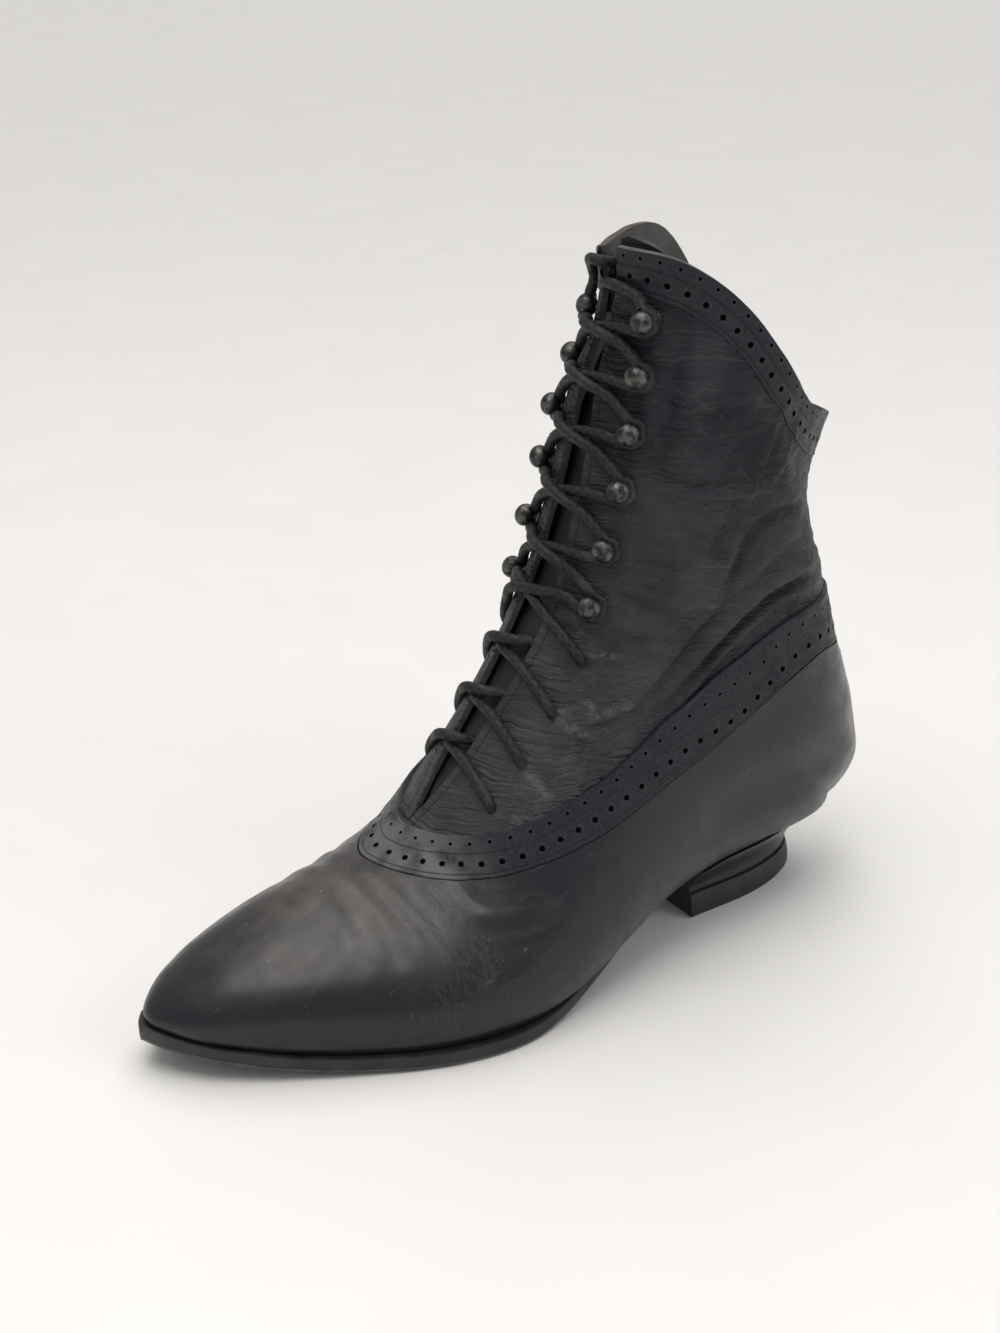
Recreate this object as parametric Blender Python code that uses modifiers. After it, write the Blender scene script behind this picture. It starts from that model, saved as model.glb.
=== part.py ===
"""Victorian lace-up ankle boot, a left boot, as separate named pieces.

Metres. +X points to the toe, +Y to the outer (lateral) side, +Z up. The origin is the
centre of the heel's floor face. Tables give shares of the named sizes above them.
"""

import math

import bmesh
import bpy
import numpy as np
from mathutils import Vector

# Driving dimensions
FOOT_LENGTH = 0.2505        # back of the counter to the toe tip of the upper
HEEL_SET = 0.0465           # back of the counter to the centre of the heel
BALL_WIDTH = 0.082          # feather line, across the ball
HEEL_HEIGHT = 0.0225        # floor to the underside of the sole at the seat
TOE_SPRING = 0.009          # floor to the underside of the sole at the toe tip
SHAFT_HEIGHT = 0.195        # sole line to the front of the collar
SOLE_THICKNESS = 0.005
SOLE_LIP = 0.0015           # bevelled lip along the foot of the sole edge
SOLE_LIP_SET = 0.0009       # how far the lip runs back under the edge
SEAT_BACK = 0.062           # share of the foot length where the seat ends at the back
SEAT_ROUND = 0.12           # share of the foot length over which the seat rounds
TOE_ROUND = 0.045           # share of the foot length over which the toe tip rounds
WALL = 0.0018               # quarter leather with its lining
OVERLAY = 0.0011            # vamp and foxing leather
BAND_PROUD = 0.0005         # what the brogued band adds to the overlay's thickness
COLLAR_PROUD = 0.0009       # thickness of the strip along the collar
FIT = 0.0003                # clearance between pieces that touch
COLLAR_BAND = 0.019         # width of the brogued strip along the collar, at the back
COLLAR_BAND_FRONT = 0.012
INSOLE_THICKNESS = 0.0018
INSOLE_CLEAR = 0.0011       # inner wall to the edge of the insole
INSOLE_SET_BACK = 0.028     # share of the foot length between the seat's back and the insole
INSOLE_SET_FRONT = 0.045
INSOLE_ROUND = 0.03
TONGUE_THICKNESS = 0.0014
TONGUE_SINK = 0.0012        # lining to the tongue at the foot of the throat
TONGUE_DROP = 0.0034        # how much deeper the tongue lies at the collar
TONGUE_HALF = 0.0185        # half width
TONGUE_START = 6.3          # ring at which the tongue starts
TONGUE_RISE = 0.003         # how far the tongue stands over the front of the collar
TONGUE_PEAK = 1.6           # shape of its rounded top
TONGUE_NARROW = 0.72        # share of the half width at its foot
TONGUE_WIDENS = 5           # steps over which it widens
TONGUE_STEPS = 16
TONGUE_SIDE_STEPS = 4
TOP_PIECE = 0.0084          # height of the heel's top piece
LACE = 0.0029               # diameter
HOOK_BALL = 0.0064          # diameter
HOOK_BASE = 0.0072          # diameter of the washer under a hook
HOOK_WASHER = 0.0007
HOOK_STEM = 0.0028
HOOK_STAND = 0.0048         # upper to the middle of the ball
HOOK_STEPS = 8              # round a hook
BALL_STEPS = 6              # down a hook's ball
HOOK_WRAP = 0.0050          # middle of a hook to the middle of the lace round it
LACE_LIFT = 0.0013          # leather to the underside of the lace
OVER_BAND = 2 * FIT + OVERLAY + BAND_PROUD + LACE / 2    # leather to a lace on a strip

# Mesh fineness
SIDE_STEPS = 12             # segments from the feather line to the front, each side
SOLE_STEPS = 34
INSOLE_STEPS = 26
TOE_RINGS = 14              # from the toe tip to the back of the seat, at the feather line
BACK_RINGS = 6              # from there up to the brogued band
BAND_RINGS = 2
QUARTER_RINGS = 12
COLLAR_RINGS = 2

WELD = 1e-5
NEARBY = 0.02               # rings, for measuring a slope
SEAM_GAP = 0.0004           # foxing to the brogued band
LAST_RING = 22
THROAT_MIDDLE = 0.99        # place round a section that counts as the middle of the throat
TURN = 0.40
GROUND_RINGS = 13
SEAT_RING = 9               # ring from which the foxing curls out over the seat
BACK_RING = 12              # ring at the back of the seat
LEAN_FROM = 0.66
RIDGE_LEAN = 0.2            # share of the medial side's lean that the ridge takes up


def table(columns, rows):
    """Named columns of a short table, as arrays."""
    return dict(zip(columns.split(), np.array(rows, float).T))


# Side view of the sole. heel and spring are shares of the heel height and the toe
# spring under the sole, thick is a share of the sole's thickness.
SOLE_LINE = table("share heel spring thick", [
    (0.000, 1.000, 0.00, 0.60),
    (0.146, 1.000, 0.00, 0.60),
    (0.234, 0.975, 0.00, 0.60),
    (0.300, 0.860, 0.00, 0.60),
    (0.365, 0.680, 0.00, 0.62),
    (0.433, 0.450, 0.00, 0.70),
    (0.505, 0.205, 0.00, 0.84),
    (0.565, 0.050, 0.00, 0.96),
    (0.605, 0.000, 0.00, 1.00),
    (0.705, 0.000, 0.00, 1.00),
    (0.784, 0.000, 0.07, 1.00),
    (0.856, 0.000, 0.24, 1.00),
    (0.924, 0.000, 0.55, 1.00),
    (1.000, 0.000, 1.00, 1.00),
])

# Plan of the feather line, where upper and sole meet. lateral and medial are half widths
# as shares of the ball width; edge is how far the sole stands out past the upper, as a
# share of the sole's thickness.
PLAN = table("share lateral medial edge", [
    (0.060, 0.300, 0.295, -0.26),
    (0.150, 0.303, 0.290, -0.26),
    (0.230, 0.312, 0.282, -0.26),
    (0.300, 0.318, 0.266, -0.28),
    (0.365, 0.342, 0.258, -0.30),
    (0.433, 0.408, 0.276, -0.25),
    (0.505, 0.482, 0.340, 0.02),
    (0.565, 0.528, 0.402, 0.42),
    (0.625, 0.548, 0.446, 0.72),
    (0.685, 0.532, 0.460, 0.74),
    (0.745, 0.478, 0.442, 0.72),
    (0.800, 0.402, 0.404, 0.70),
    (0.860, 0.312, 0.345, 0.66),
    (0.915, 0.218, 0.272, 0.62),
    (0.960, 0.124, 0.208, 0.60),
    (1.000, 0.020, 0.160, 0.60),
])

# Sections of the last, from the toe tip to the collar. Each lies in a plane across the
# boot, from a point on the sole or the back seam to a point on the ridge or the front.
# foot_x and top_x are shares of the foot length, foot_rise and top_rise are heights over
# the sole line as shares of the shaft height, lateral, medial and ridge are shares of the
# ball width, widest is a share of the section's height; round and seam are the exponents of its front
# and back quarters; gap is the half width of the throat; lean is how far the medial
# facing lies behind the lateral one, as a share of the section.
RINGS = table("foot_x foot_rise top_x top_rise lateral medial ridge widest round seam gap lean", [
    (1.000, 0.000, 1.000, 0.030, 0.030, 0.170, -0.080, 0.40, 2.00, 2.00, 0.000, 0.000),
    (0.967, 0.000, 0.967, 0.056, 0.118, 0.208, -0.080, 0.40, 2.00, 2.00, 0.000, 0.000),
    (0.918, 0.000, 0.918, 0.104, 0.222, 0.274, -0.076, 0.38, 1.95, 2.00, 0.000, 0.000),
    (0.848, 0.000, 0.848, 0.150, 0.344, 0.356, -0.068, 0.35, 1.85, 2.00, 0.000, 0.000),
    (0.768, 0.000, 0.774, 0.182, 0.460, 0.424, -0.056, 0.31, 1.75, 2.00, 0.000, 0.000),
    (0.684, 0.000, 0.711, 0.211, 0.552, 0.472, -0.042, 0.29, 1.70, 2.00, 0.000, 0.000),
    (0.600, 0.000, 0.657, 0.254, 0.574, 0.480, -0.030, 0.28, 1.72, 2.00, 0.000, 0.000),
    (0.517, 0.000, 0.609, 0.324, 0.556, 0.464, -0.035, 0.29, 1.80, 2.00, 0.035, 0.000),
    (0.425, 0.000, 0.565, 0.389, 0.512, 0.442, -0.040, 0.31, 1.90, 2.00, 0.048, 0.000),
    (0.330, 0.000, 0.523, 0.455, 0.466, 0.426, -0.038, 0.34, 2.00, 2.00, 0.058, 0.000),
    (0.233, 0.000, 0.489, 0.517, 0.436, 0.414, -0.034, 0.39, 2.12, 2.00, 0.062, 0.000),
    (0.146, 0.000, 0.465, 0.568, 0.424, 0.406, -0.026, 0.42, 2.30, 2.25, 0.064, 0.000),
    (0.062, 0.000, 0.450, 0.610, 0.416, 0.400, -0.014, 0.45, 2.45, 2.70, 0.066, 0.000),
    (0.007, 0.046, 0.437, 0.662, 0.410, 0.396, -0.004, 0.47, 2.50, 2.45, 0.066, 0.000),
    (0.004, 0.112, 0.423, 0.718, 0.404, 0.392, 0.000, 0.48, 2.50, 2.20, 0.064, 0.000),
    (0.017, 0.190, 0.411, 0.771, 0.402, 0.390, 0.000, 0.49, 2.40, 2.05, 0.054, 0.000),
    (0.036, 0.257, 0.402, 0.819, 0.402, 0.390, 0.000, 0.50, 2.30, 2.00, 0.045, 0.000),
    (0.053, 0.333, 0.395, 0.866, 0.408, 0.390, 0.004, 0.50, 2.20, 1.95, 0.039, 0.030),
    (0.062, 0.405, 0.390, 0.907, 0.414, 0.392, 0.014, 0.50, 2.20, 1.90, 0.032, 0.085),
    (0.077, 0.472, 0.388, 0.944, 0.420, 0.394, 0.022, 0.50, 2.20, 1.80, 0.029, 0.135),
    (0.083, 0.540, 0.389, 0.979, 0.424, 0.396, 0.030, 0.50, 2.20, 1.70, 0.032, 0.175),
    (0.070, 0.607, 0.394, 1.013, 0.428, 0.398, 0.038, 0.50, 2.20, 1.60, 0.042, 0.190),
    (0.041, 0.674, 0.400, 1.045, 0.432, 0.400, 0.048, 0.50, 2.20, 1.50, 0.052, 0.190),
])

# Lift of the collar line off the straight line from its back to its front, as shares of
# the shaft height. along is the share of the way to the front.
COLLAR_LINE = table("along lateral medial", [
    (0.00, 0.000, 0.000),
    (0.12, -0.022, 0.000),
    (0.30, -0.032, 0.050),
    (0.50, -0.006, 0.108),
    (0.66, 0.020, 0.112),
    (0.80, 0.030, 0.074),
    (0.92, 0.022, 0.014),
    (1.00, 0.000, 0.000),
])

# Side view of the brogued band round the foot. low and top are the heights of its edges
# over the sole line as shares of the shaft height.
BAND_LINE = table("share low top", [
    (0.000, 0.292, 0.392),
    (0.060, 0.305, 0.404),
    (0.130, 0.329, 0.416),
    (0.195, 0.306, 0.408),
    (0.250, 0.274, 0.386),
    (0.310, 0.251, 0.363),
    (0.380, 0.241, 0.338),
    (0.450, 0.232, 0.308),
    (0.520, 0.230, 0.292),
    (0.585, 0.226, 0.278),
    (0.640, 0.213, 0.258),
    (0.680, 0.209, 0.249),
    (0.730, 0.210, 0.245),
    (0.800, 0.214, 0.240),
])

# Heel block, from the top piece up to the seat. rise is a share of the block's height,
# length and width are shares of the seat's, and breast is how far the breast is set back,
# as a share of the seat's length.
HEEL = table("rise length width breast", [
    (0.00, 0.915, 0.700, 0.000),
    (0.14, 0.920, 0.700, 0.000),
    (0.34, 0.935, 0.740, 0.000),
    (0.58, 0.955, 0.830, 0.000),
    (0.80, 0.980, 0.930, 0.000),
    (1.00, 1.000, 1.000, 0.000),
])
HEEL_LENGTH = 0.227         # share of the foot length from the seat's back to the breast

# Top piece, from the floor up. rise is a share of its height, the rest as for the heel.
TOP_LIFT = table("rise length width breast", [
    (0.00, 0.925, 0.745, 0.008),
    (0.16, 0.945, 0.770, 0.000),
    (0.60, 0.940, 0.762, 0.000),
    (1.00, 0.925, 0.740, 0.002),
])

# Rows of lacing, from the throat up, as places along the rings of the last, with the
# distance from the middle of the throat to a hole or hook as a share of the ball width.
HOLES = table("ring reach", [
    (7.14, 0.291),
    (8.02, 0.300),
    (8.95, 0.305),
    (10.01, 0.310),
])
HOOKS = table("ring reach", [
    (11.20, 0.266),
    (12.73, 0.242),
    (14.20, 0.240),
    (15.75, 0.234),
    (17.40, 0.220),
    (19.45, 0.204),
])


WRAP_TURNS = (-90, -30, 30, 90)        # degrees round a hook
LACE_PLACES = (0.2, 0.36, 0.5, 0.64, 0.8)        # shares of the way across the throat
BAR_PLACES = (0.6, 0.2, -0.2, -0.6, -1.0)

# Path of each lace end: rings above the highest hook, share of that hook's reach, and
# whether it lies over the leather (1), in the throat (0) or inside the shaft (-1).
LACE_ENDS = {
    "lateral": [
        (0.78, 0.84, 1),
        (0.95, 0.60, 1),
        (1.00, 0.34, 1),
        (0.98, 0.07, 1),
        (0.84, -0.02, 0),
        (0.55, 0.02, -1),
        (0.05, 0.20, -1),
        (-0.60, 0.24, -1),
    ],
    "medial": [
        (1.15, 0.92, 1),
        (1.70, 0.76, 1),
        (2.02, 0.45, 1),
        (2.05, 0.16, 1),
        (1.92, 0.03, 0),
        (1.62, 0.08, -1),
        (1.10, 0.26, -1),
        (0.30, 0.34, -1),
        (-0.30, 0.34, -1),
    ],
}


def curve(rows, column, at, key="share", snug=True):
    """A smooth line through one column. A snug one keeps level stretches level."""
    xs = rows[key] if key else np.arange(len(rows[column]), dtype=float)
    ys = rows[column]
    step = np.diff(xs)
    rise = np.diff(ys) / step
    slope = np.empty_like(ys)
    slope[0], slope[-1] = rise[0], rise[-1]
    mid = (rise[:-1] * step[1:] + rise[1:] * step[:-1]) / (step[1:] + step[:-1])
    if snug:
        mid = np.where(rise[:-1] * rise[1:] > 0, mid, 0.0)
        steepest = 3 * np.minimum(abs(rise[:-1]), abs(rise[1:]))
        mid = np.sign(mid) * np.minimum(abs(mid), steepest)
    slope[1:-1] = mid
    at = np.clip(np.asarray(at, float), xs[0], xs[-1])
    i = np.clip(np.searchsorted(xs, at, side="right") - 1, 0, len(xs) - 2)
    h = step[i]
    t = (at - xs[i]) / h
    return (
        (1 + 2 * t) * (1 - t) ** 2 * ys[i]
        + t * (1 - t) ** 2 * h * slope[i]
        + t * t * (3 - 2 * t) * ys[i + 1]
        + t * t * (t - 1) * h * slope[i + 1]
    )


def x_at(share):
    return share * FOOT_LENGTH - HEEL_SET


def share_at(x):
    return (x + HEEL_SET) / FOOT_LENGTH


def sole_under(share):
    """Height of the sole's underside."""
    heel = curve(SOLE_LINE, "heel", share) * HEEL_HEIGHT
    return heel + curve(SOLE_LINE, "spring", share) * TOE_SPRING


def sole_top(share):
    """Height of the sole line, where the upper stands on the sole."""
    return sole_under(share) + curve(SOLE_LINE, "thick", share) * SOLE_THICKNESS


def tip_round(share):
    """1 along the foot, falling to 0 round the toe tip."""
    k = np.clip((share - 1 + TOE_ROUND) / TOE_ROUND, 0, 1)
    return np.sqrt(1 - k * k)


def seat_round(share):
    """1 along the foot, falling to 0 round the back of the seat."""
    k = np.clip((SEAT_BACK + SEAT_ROUND - share) / SEAT_ROUND, 0, 1)
    return np.sqrt(np.clip(1 - k ** 2.3, 0, 1))


def rounded_pair(lateral, medial, share):
    """Both half widths, drawn in round the toe tip."""
    middle, half = (lateral - medial) / 2, (lateral + medial) / 2
    half = half * tip_round(share)
    return middle + half, half - middle


def plan(share):
    """Half widths of the feather line on the lateral and the medial side."""
    lateral = curve(PLAN, "lateral", share, snug=False) * BALL_WIDTH
    medial = curve(PLAN, "medial", share, snug=False) * BALL_WIDTH
    lateral, medial = rounded_pair(lateral, medial, share)
    return lateral * seat_round(share), medial * seat_round(share)


def ring_value(column, ring):
    return curve(RINGS, column, ring, key=None, snug=False)


def last_point(ring, around, side):
    """A point on the last. ring runs from the toe tip (0) to the collar, around from the
    feather line or back seam (0) over the widest place (TURN) to the ridge (1)."""
    ring, around = np.broadcast_arrays(np.asarray(ring, float), np.asarray(around, float))
    foot = ring_value("foot_x", ring)
    top = ring_value("top_x", ring)
    rise = np.maximum(ring_value("foot_rise", ring), 0) * SHAFT_HEIGHT
    low = np.stack([x_at(foot), sole_top(foot) + FIT + rise], -1)
    crown = ring_value("top_rise", ring) * SHAFT_HEIGHT * tip_round(foot)
    high = np.stack([x_at(top), sole_top(top) + FIT + crown], -1)
    run = high - low
    hand = 0 if side > 0 else 1
    wide = rounded_pair(*section_widths(ring), foot)[hand]
    grounded = (foot > SEAT_BACK) & (ring_value("foot_rise", ring) < 1e-6)
    feather = np.where(grounded, plan(foot)[hand], 0.0)
    ridge = ridge_line(ring) * side
    widest = ring_value("widest", ring)
    power = ring_value("round", ring)
    seam = ring_value("seam", ring)
    up = np.clip(around / TURN, 0, 1) * math.pi / 2
    curl = 1 - np.clip(feather / np.maximum(wide, WELD), 0, 1)
    seat = np.clip((ring - SEAT_RING) / (BACK_RING - SEAT_RING), 0, 1)
    curl = curl + (1 - curl) * seat * seat * (3 - 2 * seat)
    low_y = feather + (wide - feather) * np.sin(up) ** (2 / seam)
    bow = 1 - np.clip(np.cos(up), 0, 1) ** (2 / seam)
    low_v = widest * ((1 - curl) * up / (math.pi / 2) + curl * bow)
    over = np.clip((around - TURN) / (1 - TURN), 0, 1) * math.pi / 2
    reach = np.maximum(wide - ridge, WELD)
    high_y = ridge + reach * np.clip(np.cos(over), 0, 1) ** (2 / power)
    high_v = widest + (1 - widest) * np.sin(over) ** (2 / power)
    lower = around <= TURN
    y = np.where(lower, low_y, high_y)
    v = np.where(lower, low_v, high_v)
    near = np.clip((around - LEAN_FROM) / (1 - LEAN_FROM), 0, 1)
    near = near * near * (3 - 2 * near)
    held = RIDGE_LEAN * near if side > 0 else 1 - (1 - RIDGE_LEAN) * near
    v = v * (1 - held * ring_value("lean", ring))
    fade = np.clip((ring - 14) / (LAST_RING - 14), 0, 1) ** 2
    name = "lateral" if side > 0 else "medial"
    swell = curve(COLLAR_LINE, name, v, key="along", snug=False) * SHAFT_HEIGHT * fade
    length = np.maximum(np.linalg.norm(run, axis=-1), WELD)
    across = np.stack([-run[..., 1], run[..., 0]], -1) / length[..., None]
    spot = low + v[..., None] * run + swell[..., None] * across
    return np.stack([spot[..., 0], side * y, spot[..., 1]], -1)


def section_widths(ring):
    """Lateral and medial half widths of a section at its widest place."""
    return [ring_value(name, ring) * BALL_WIDTH for name in ("lateral", "medial")]


def ridge_line(ring):
    """Sideways place of the ridge, drawn to the middle at the toe tip."""
    lateral, medial = section_widths(ring)
    middle = (lateral - medial) / 2
    draw = tip_round(ring_value("foot_x", ring))
    return middle + (ring_value("ridge", ring) * BALL_WIDTH - middle) * draw


def throat_edge(ring, side):
    """Place of the edge of the facing, 1 where the throat is closed."""
    wide = section_widths(ring)[0 if side > 0 else 1]
    reach = wide - ridge_line(ring) * side
    share = np.clip(ring_value("gap", ring) * BALL_WIDTH / np.maximum(reach, WELD), 0, 1)
    over = np.arccos(share ** (ring_value("round", ring) / 2))
    return TURN + (1 - TURN) * over / (math.pi / 2)


def skin_point(ring, step, side):
    """A point on the outside of the upper. step runs from the feather line or back seam
    (0) to the edge of the facing (1)."""
    ring, step = np.broadcast_arrays(np.asarray(ring, float), np.asarray(step, float))
    over = np.clip((step - TURN) / (1 - TURN), 0, 1)
    around = np.where(step <= TURN, step, TURN + over * (throat_edge(ring, side) - TURN))
    return last_point(ring, around, side)


def skin_frame(ring, around, side):
    """A point on the last, the way out of it, and the ways up and away from the throat."""
    spot = last_point(ring, around, side)
    up = last_point(ring + 0.05, around, side) - last_point(ring - 0.05, around, side)
    away = last_point(ring, around - 0.01, side) - last_point(ring, around + 0.01, side)
    out = np.cross(away, up) * side
    out /= np.linalg.norm(out)
    up /= np.linalg.norm(up)
    return spot, out, up, np.cross(up, out) * side


def ring_on_line(column, around, side):
    """Where a line drawn in side view crosses one lengthwise line of the last."""
    rings = np.linspace(2.0, LAST_RING, 401)
    spots = skin_point(rings, around, side)
    share = share_at(spots[:, 0])
    line = sole_top(share) + curve(BAND_LINE, column, share) * SHAFT_HEIGHT
    over = spots[:, 2] - line
    i = int(np.argmax(over > 0))
    t = over[i - 1] / (over[i - 1] - over[i])
    return rings[i - 1] + t * (rings[i] - rings[i - 1])


def ring_below_collar(depth, around, side):
    """The ring that lies a given depth below the collar, measured down the leather."""
    rings = np.linspace(LAST_RING, 14, 201)
    spots = skin_point(rings, around, side)
    run = np.concatenate([[0], np.cumsum(np.linalg.norm(np.diff(spots, axis=0), axis=1))])
    return float(np.interp(depth, run, rings))


def ring_lines():
    """Places of the mesh rings along each lengthwise line, both sides, and zone ends."""
    steps = np.linspace(0, 1, SIDE_STEPS + 1)
    ridge_low = ring_on_line("low", 1.0, 1)
    seam_low = ring_on_line("low", 0.0, 1)

    def skew(q):
        return ridge_low * q + (seam_low - ridge_low) * q ** 2

    fine = np.linspace(0, 1, 2001)
    corner = float(np.interp(BACK_RING, skew(fine), fine))
    qs = np.concatenate([
        corner * np.sin(np.linspace(0, math.pi / 2, TOE_RINGS + 1)),
        np.linspace(corner, 1, BACK_RINGS + 1)[1:],
    ])
    columns = []
    for side in (1, -1):
        for around in steps if side > 0 else steps[::-1]:
            low = ring_on_line("low", around, side)
            top = ring_on_line("top", around, side)
            depth = COLLAR_BAND + (COLLAR_BAND_FRONT - COLLAR_BAND) * around
            strip = ring_below_collar(depth, around, side)
            foot = ridge_low * qs + (low - ridge_low) * qs ** 2
            near = skin_point(np.array([low - NEARBY, low + NEARBY]), around, side)
            per_metre = 2 * NEARBY / np.linalg.norm(near[1] - near[0])
            seam = low + SEAM_GAP * per_metre
            band = np.linspace(seam, top, BAND_RINGS + 1)
            quarter = np.linspace(top, strip, QUARTER_RINGS + 1)[1:]
            collar = np.linspace(strip, LAST_RING, COLLAR_RINGS + 1)[1:]
            rings = np.concatenate([foot, band, quarter, collar])
            columns.append(skin_point(rings, around, side))
    return np.stack(columns, 1)


class Skin:
    """A grid of points on the outside of the upper, welded where its sides meet."""

    def __init__(self, grid):
        self.grid = grid
        flat = grid.reshape(-1, 3)
        keys = [tuple(k) for k in np.round(flat / WELD).astype(int)]
        first = {}
        self.ids = np.array([first.setdefault(k, i) for i, k in enumerate(keys)])
        self.normals = self.vertex_normals(flat)

    def faces(self, rings=None, columns=None):
        """Quads of a stretch of the grid, without those that have shrunk to nothing."""
        count, across = self.grid.shape[:2]
        r0, r1 = rings or (0, count - 1)
        c0, c1 = columns or (0, across - 1)
        middle = across // 2 - 1
        out = []
        for r in range(r0, r1):
            for c in range(c0, c1):
                if c == middle:
                    continue
                corners = [(r, c), (r + 1, c), (r + 1, c + 1), (r, c + 1)]
                face = []
                for i, j in corners:
                    v = self.ids[i * across + j]
                    if v not in face:
                        face.append(v)
                if len(face) == 4:
                    out += self.halves(face)
                elif len(face) == 3:
                    out.append(face)
        return out

    def halves(self, face):
        """The two triangles of a quad, cut along its shorter diagonal."""
        a, b, c, d = face
        flat = self.grid.reshape(-1, 3)
        if np.linalg.norm(flat[a] - flat[c]) < np.linalg.norm(flat[b] - flat[d]):
            return [[a, b, c], [a, c, d]]
        return [[a, b, d], [b, c, d]]

    def vertex_normals(self, flat):
        total = np.zeros_like(flat)
        for face in self.faces():
            a, b, c = (flat[face[k]] for k in (0, 1, -1))
            n = np.cross(b - a, c - a)
            for v in face:
                total[v] += n
        size = np.linalg.norm(total, axis=1, keepdims=True)
        return total / np.maximum(size, 1e-12)

    def shell(self, name, material, inner, outer, rings=None, columns=None):
        """A closed wall between two offsets of the skin. Its foot stays on the sole."""
        flat = self.grid.reshape(-1, 3)
        faces = self.faces(rings, columns)
        used = sorted({v for face in faces for v in face})
        edges = {}
        for face in faces:
            for a, b in zip(face, face[1:] + face[:1]):
                edges[(a, b)] = edges.get((a, b), 0) + 1
        mesh = bmesh.new()
        layers = []
        for lift in (inner, outer):
            spots = flat[used] + self.normals[used] * lift
            floor = sole_top(np.clip(share_at(spots[:, 0]), 0, 1)) + FIT
            spots[:, 2] = np.maximum(spots[:, 2], floor)
            layers.append({v: mesh.verts.new(p) for v, p in zip(used, spots)})
        low, high = layers
        for face in faces:
            mesh.faces.new([high[v] for v in face])
            mesh.faces.new([low[v] for v in reversed(face)])
        for a, b in edges:
            if (b, a) not in edges:
                mesh.faces.new([high[b], high[a], low[a], low[b]])
        return finish(name, mesh, material)


def material(name, colour, roughness, metallic=0.0):
    made = bpy.data.materials.new(name)
    made.use_nodes = True
    shader = made.node_tree.nodes["Principled BSDF"]
    shader.inputs["Base Color"].default_value = (*colour, 1)
    shader.inputs["Roughness"].default_value = roughness
    shader.inputs["Metallic"].default_value = metallic
    return made


def finish(name, mesh, stuff, sharp=35):
    """Turns a bmesh into an object of the boot's collection."""
    bmesh.ops.remove_doubles(mesh, verts=mesh.verts, dist=WELD / 2)
    bmesh.ops.dissolve_degenerate(mesh, edges=mesh.edges, dist=WELD / 2)
    bmesh.ops.recalc_face_normals(mesh, faces=mesh.faces)
    if mesh.calc_volume(signed=True) < 0:
        bmesh.ops.reverse_faces(mesh, faces=mesh.faces)
    data = bpy.data.meshes.new(name)
    mesh.to_mesh(data)
    mesh.free()
    data.materials.append(stuff)
    data.shade_smooth()
    data.set_sharp_from_angle(angle=math.radians(sharp))
    made = bpy.data.objects.new(name, data)
    BOOT.objects.link(made)
    return made


def loft(name, loops, stuff):
    """A closed solid through loops of equally many points, capped at both ends."""
    mesh = bmesh.new()
    rows = [[mesh.verts.new(p) for p in loop] for loop in loops]
    for a, b in zip(rows, rows[1:]):
        for i in range(len(a)):
            j = (i + 1) % len(a)
            mesh.faces.new([a[i], a[j], b[j], b[i]])
    mesh.faces.new(list(reversed(rows[0])))
    mesh.faces.new(rows[-1])
    return finish(name, mesh, stuff)


def tip_spread(start, end, steps):
    """Shares from start to end, closer together towards both ends."""
    turn = np.linspace(0, math.pi, steps + 1)
    return start + (end - start) * (1 - np.cos(turn)) / 2


def build_outsole():
    """Thin sole with a bevelled lip, from the toe tip to under the heel seat."""
    shares = tip_spread(SEAT_BACK + 1e-4, 1 - 1e-4, SOLE_STEPS)
    lateral, medial = plan(shares)
    out = curve(PLAN, "edge", shares, snug=False) * SOLE_THICKNESS
    top = sole_top(shares)
    under = sole_under(shares)
    reach = out * (seat_round(shares) - tip_round(shares))
    middle = (lateral - medial) / 2
    half = (lateral + medial) / 2
    loops = []
    for k, share in enumerate(shares):
        wide = max(half[k] + out[k] * min(1, half[k] / SOLE_THICKNESS), WELD)
        x = x_at(share) + reach[k]
        lip = min(SOLE_LIP, (top[k] - under[k]) / 2)
        narrow = max(wide - SOLE_LIP_SET, wide / 2)
        side = [
            (wide, top[k]),
            (wide, under[k] + lip),
            (narrow, under[k]),
        ]
        loop = [(x, middle[k] + y, z) for y, z in side]
        loop += [(x, middle[k] - y, z) for y, z in reversed(side)]
        loops.append(loop)
    return loft("outsole", loops, RUBBER)


def inside_width(share, side):
    """Half width inside the upper over the thickness of the insole."""
    seats = RINGS["foot_x"][:GROUND_RINGS]
    ring = float(np.interp(-share, -seats, np.arange(GROUND_RINGS)))
    spots = last_point(np.full(25, ring), np.linspace(0, TURN, 25), side)
    height = spots[:, 2] - spots[0, 2]
    low = spots[height <= INSOLE_THICKNESS + FIT]
    return float(np.min(low[:, 1] * side)) - WALL - INSOLE_CLEAR


def build_insole():
    """Lining board that closes the foot of the upper from inside."""
    start, end = SEAT_BACK + INSOLE_SET_BACK, 1 - INSOLE_SET_FRONT
    loops = []
    for share in tip_spread(start, end, INSOLE_STEPS):
        ease = math.sqrt(np.clip(min(share - start, end - share) / INSOLE_ROUND, 0, 1))
        wide, narrow = inside_width(share, 1), -inside_width(share, -1)
        middle, half = (wide + narrow) / 2, (wide - narrow) / 2 * max(ease, 0.02)
        x = x_at(share)
        low = float(sole_top(share)) + FIT
        high = low + INSOLE_THICKNESS
        left, right = middle + half, middle - half
        loops.append([(x, left, high), (x, left, low), (x, right, low), (x, right, high)])
    return loft("insole", loops, LINING)


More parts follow.
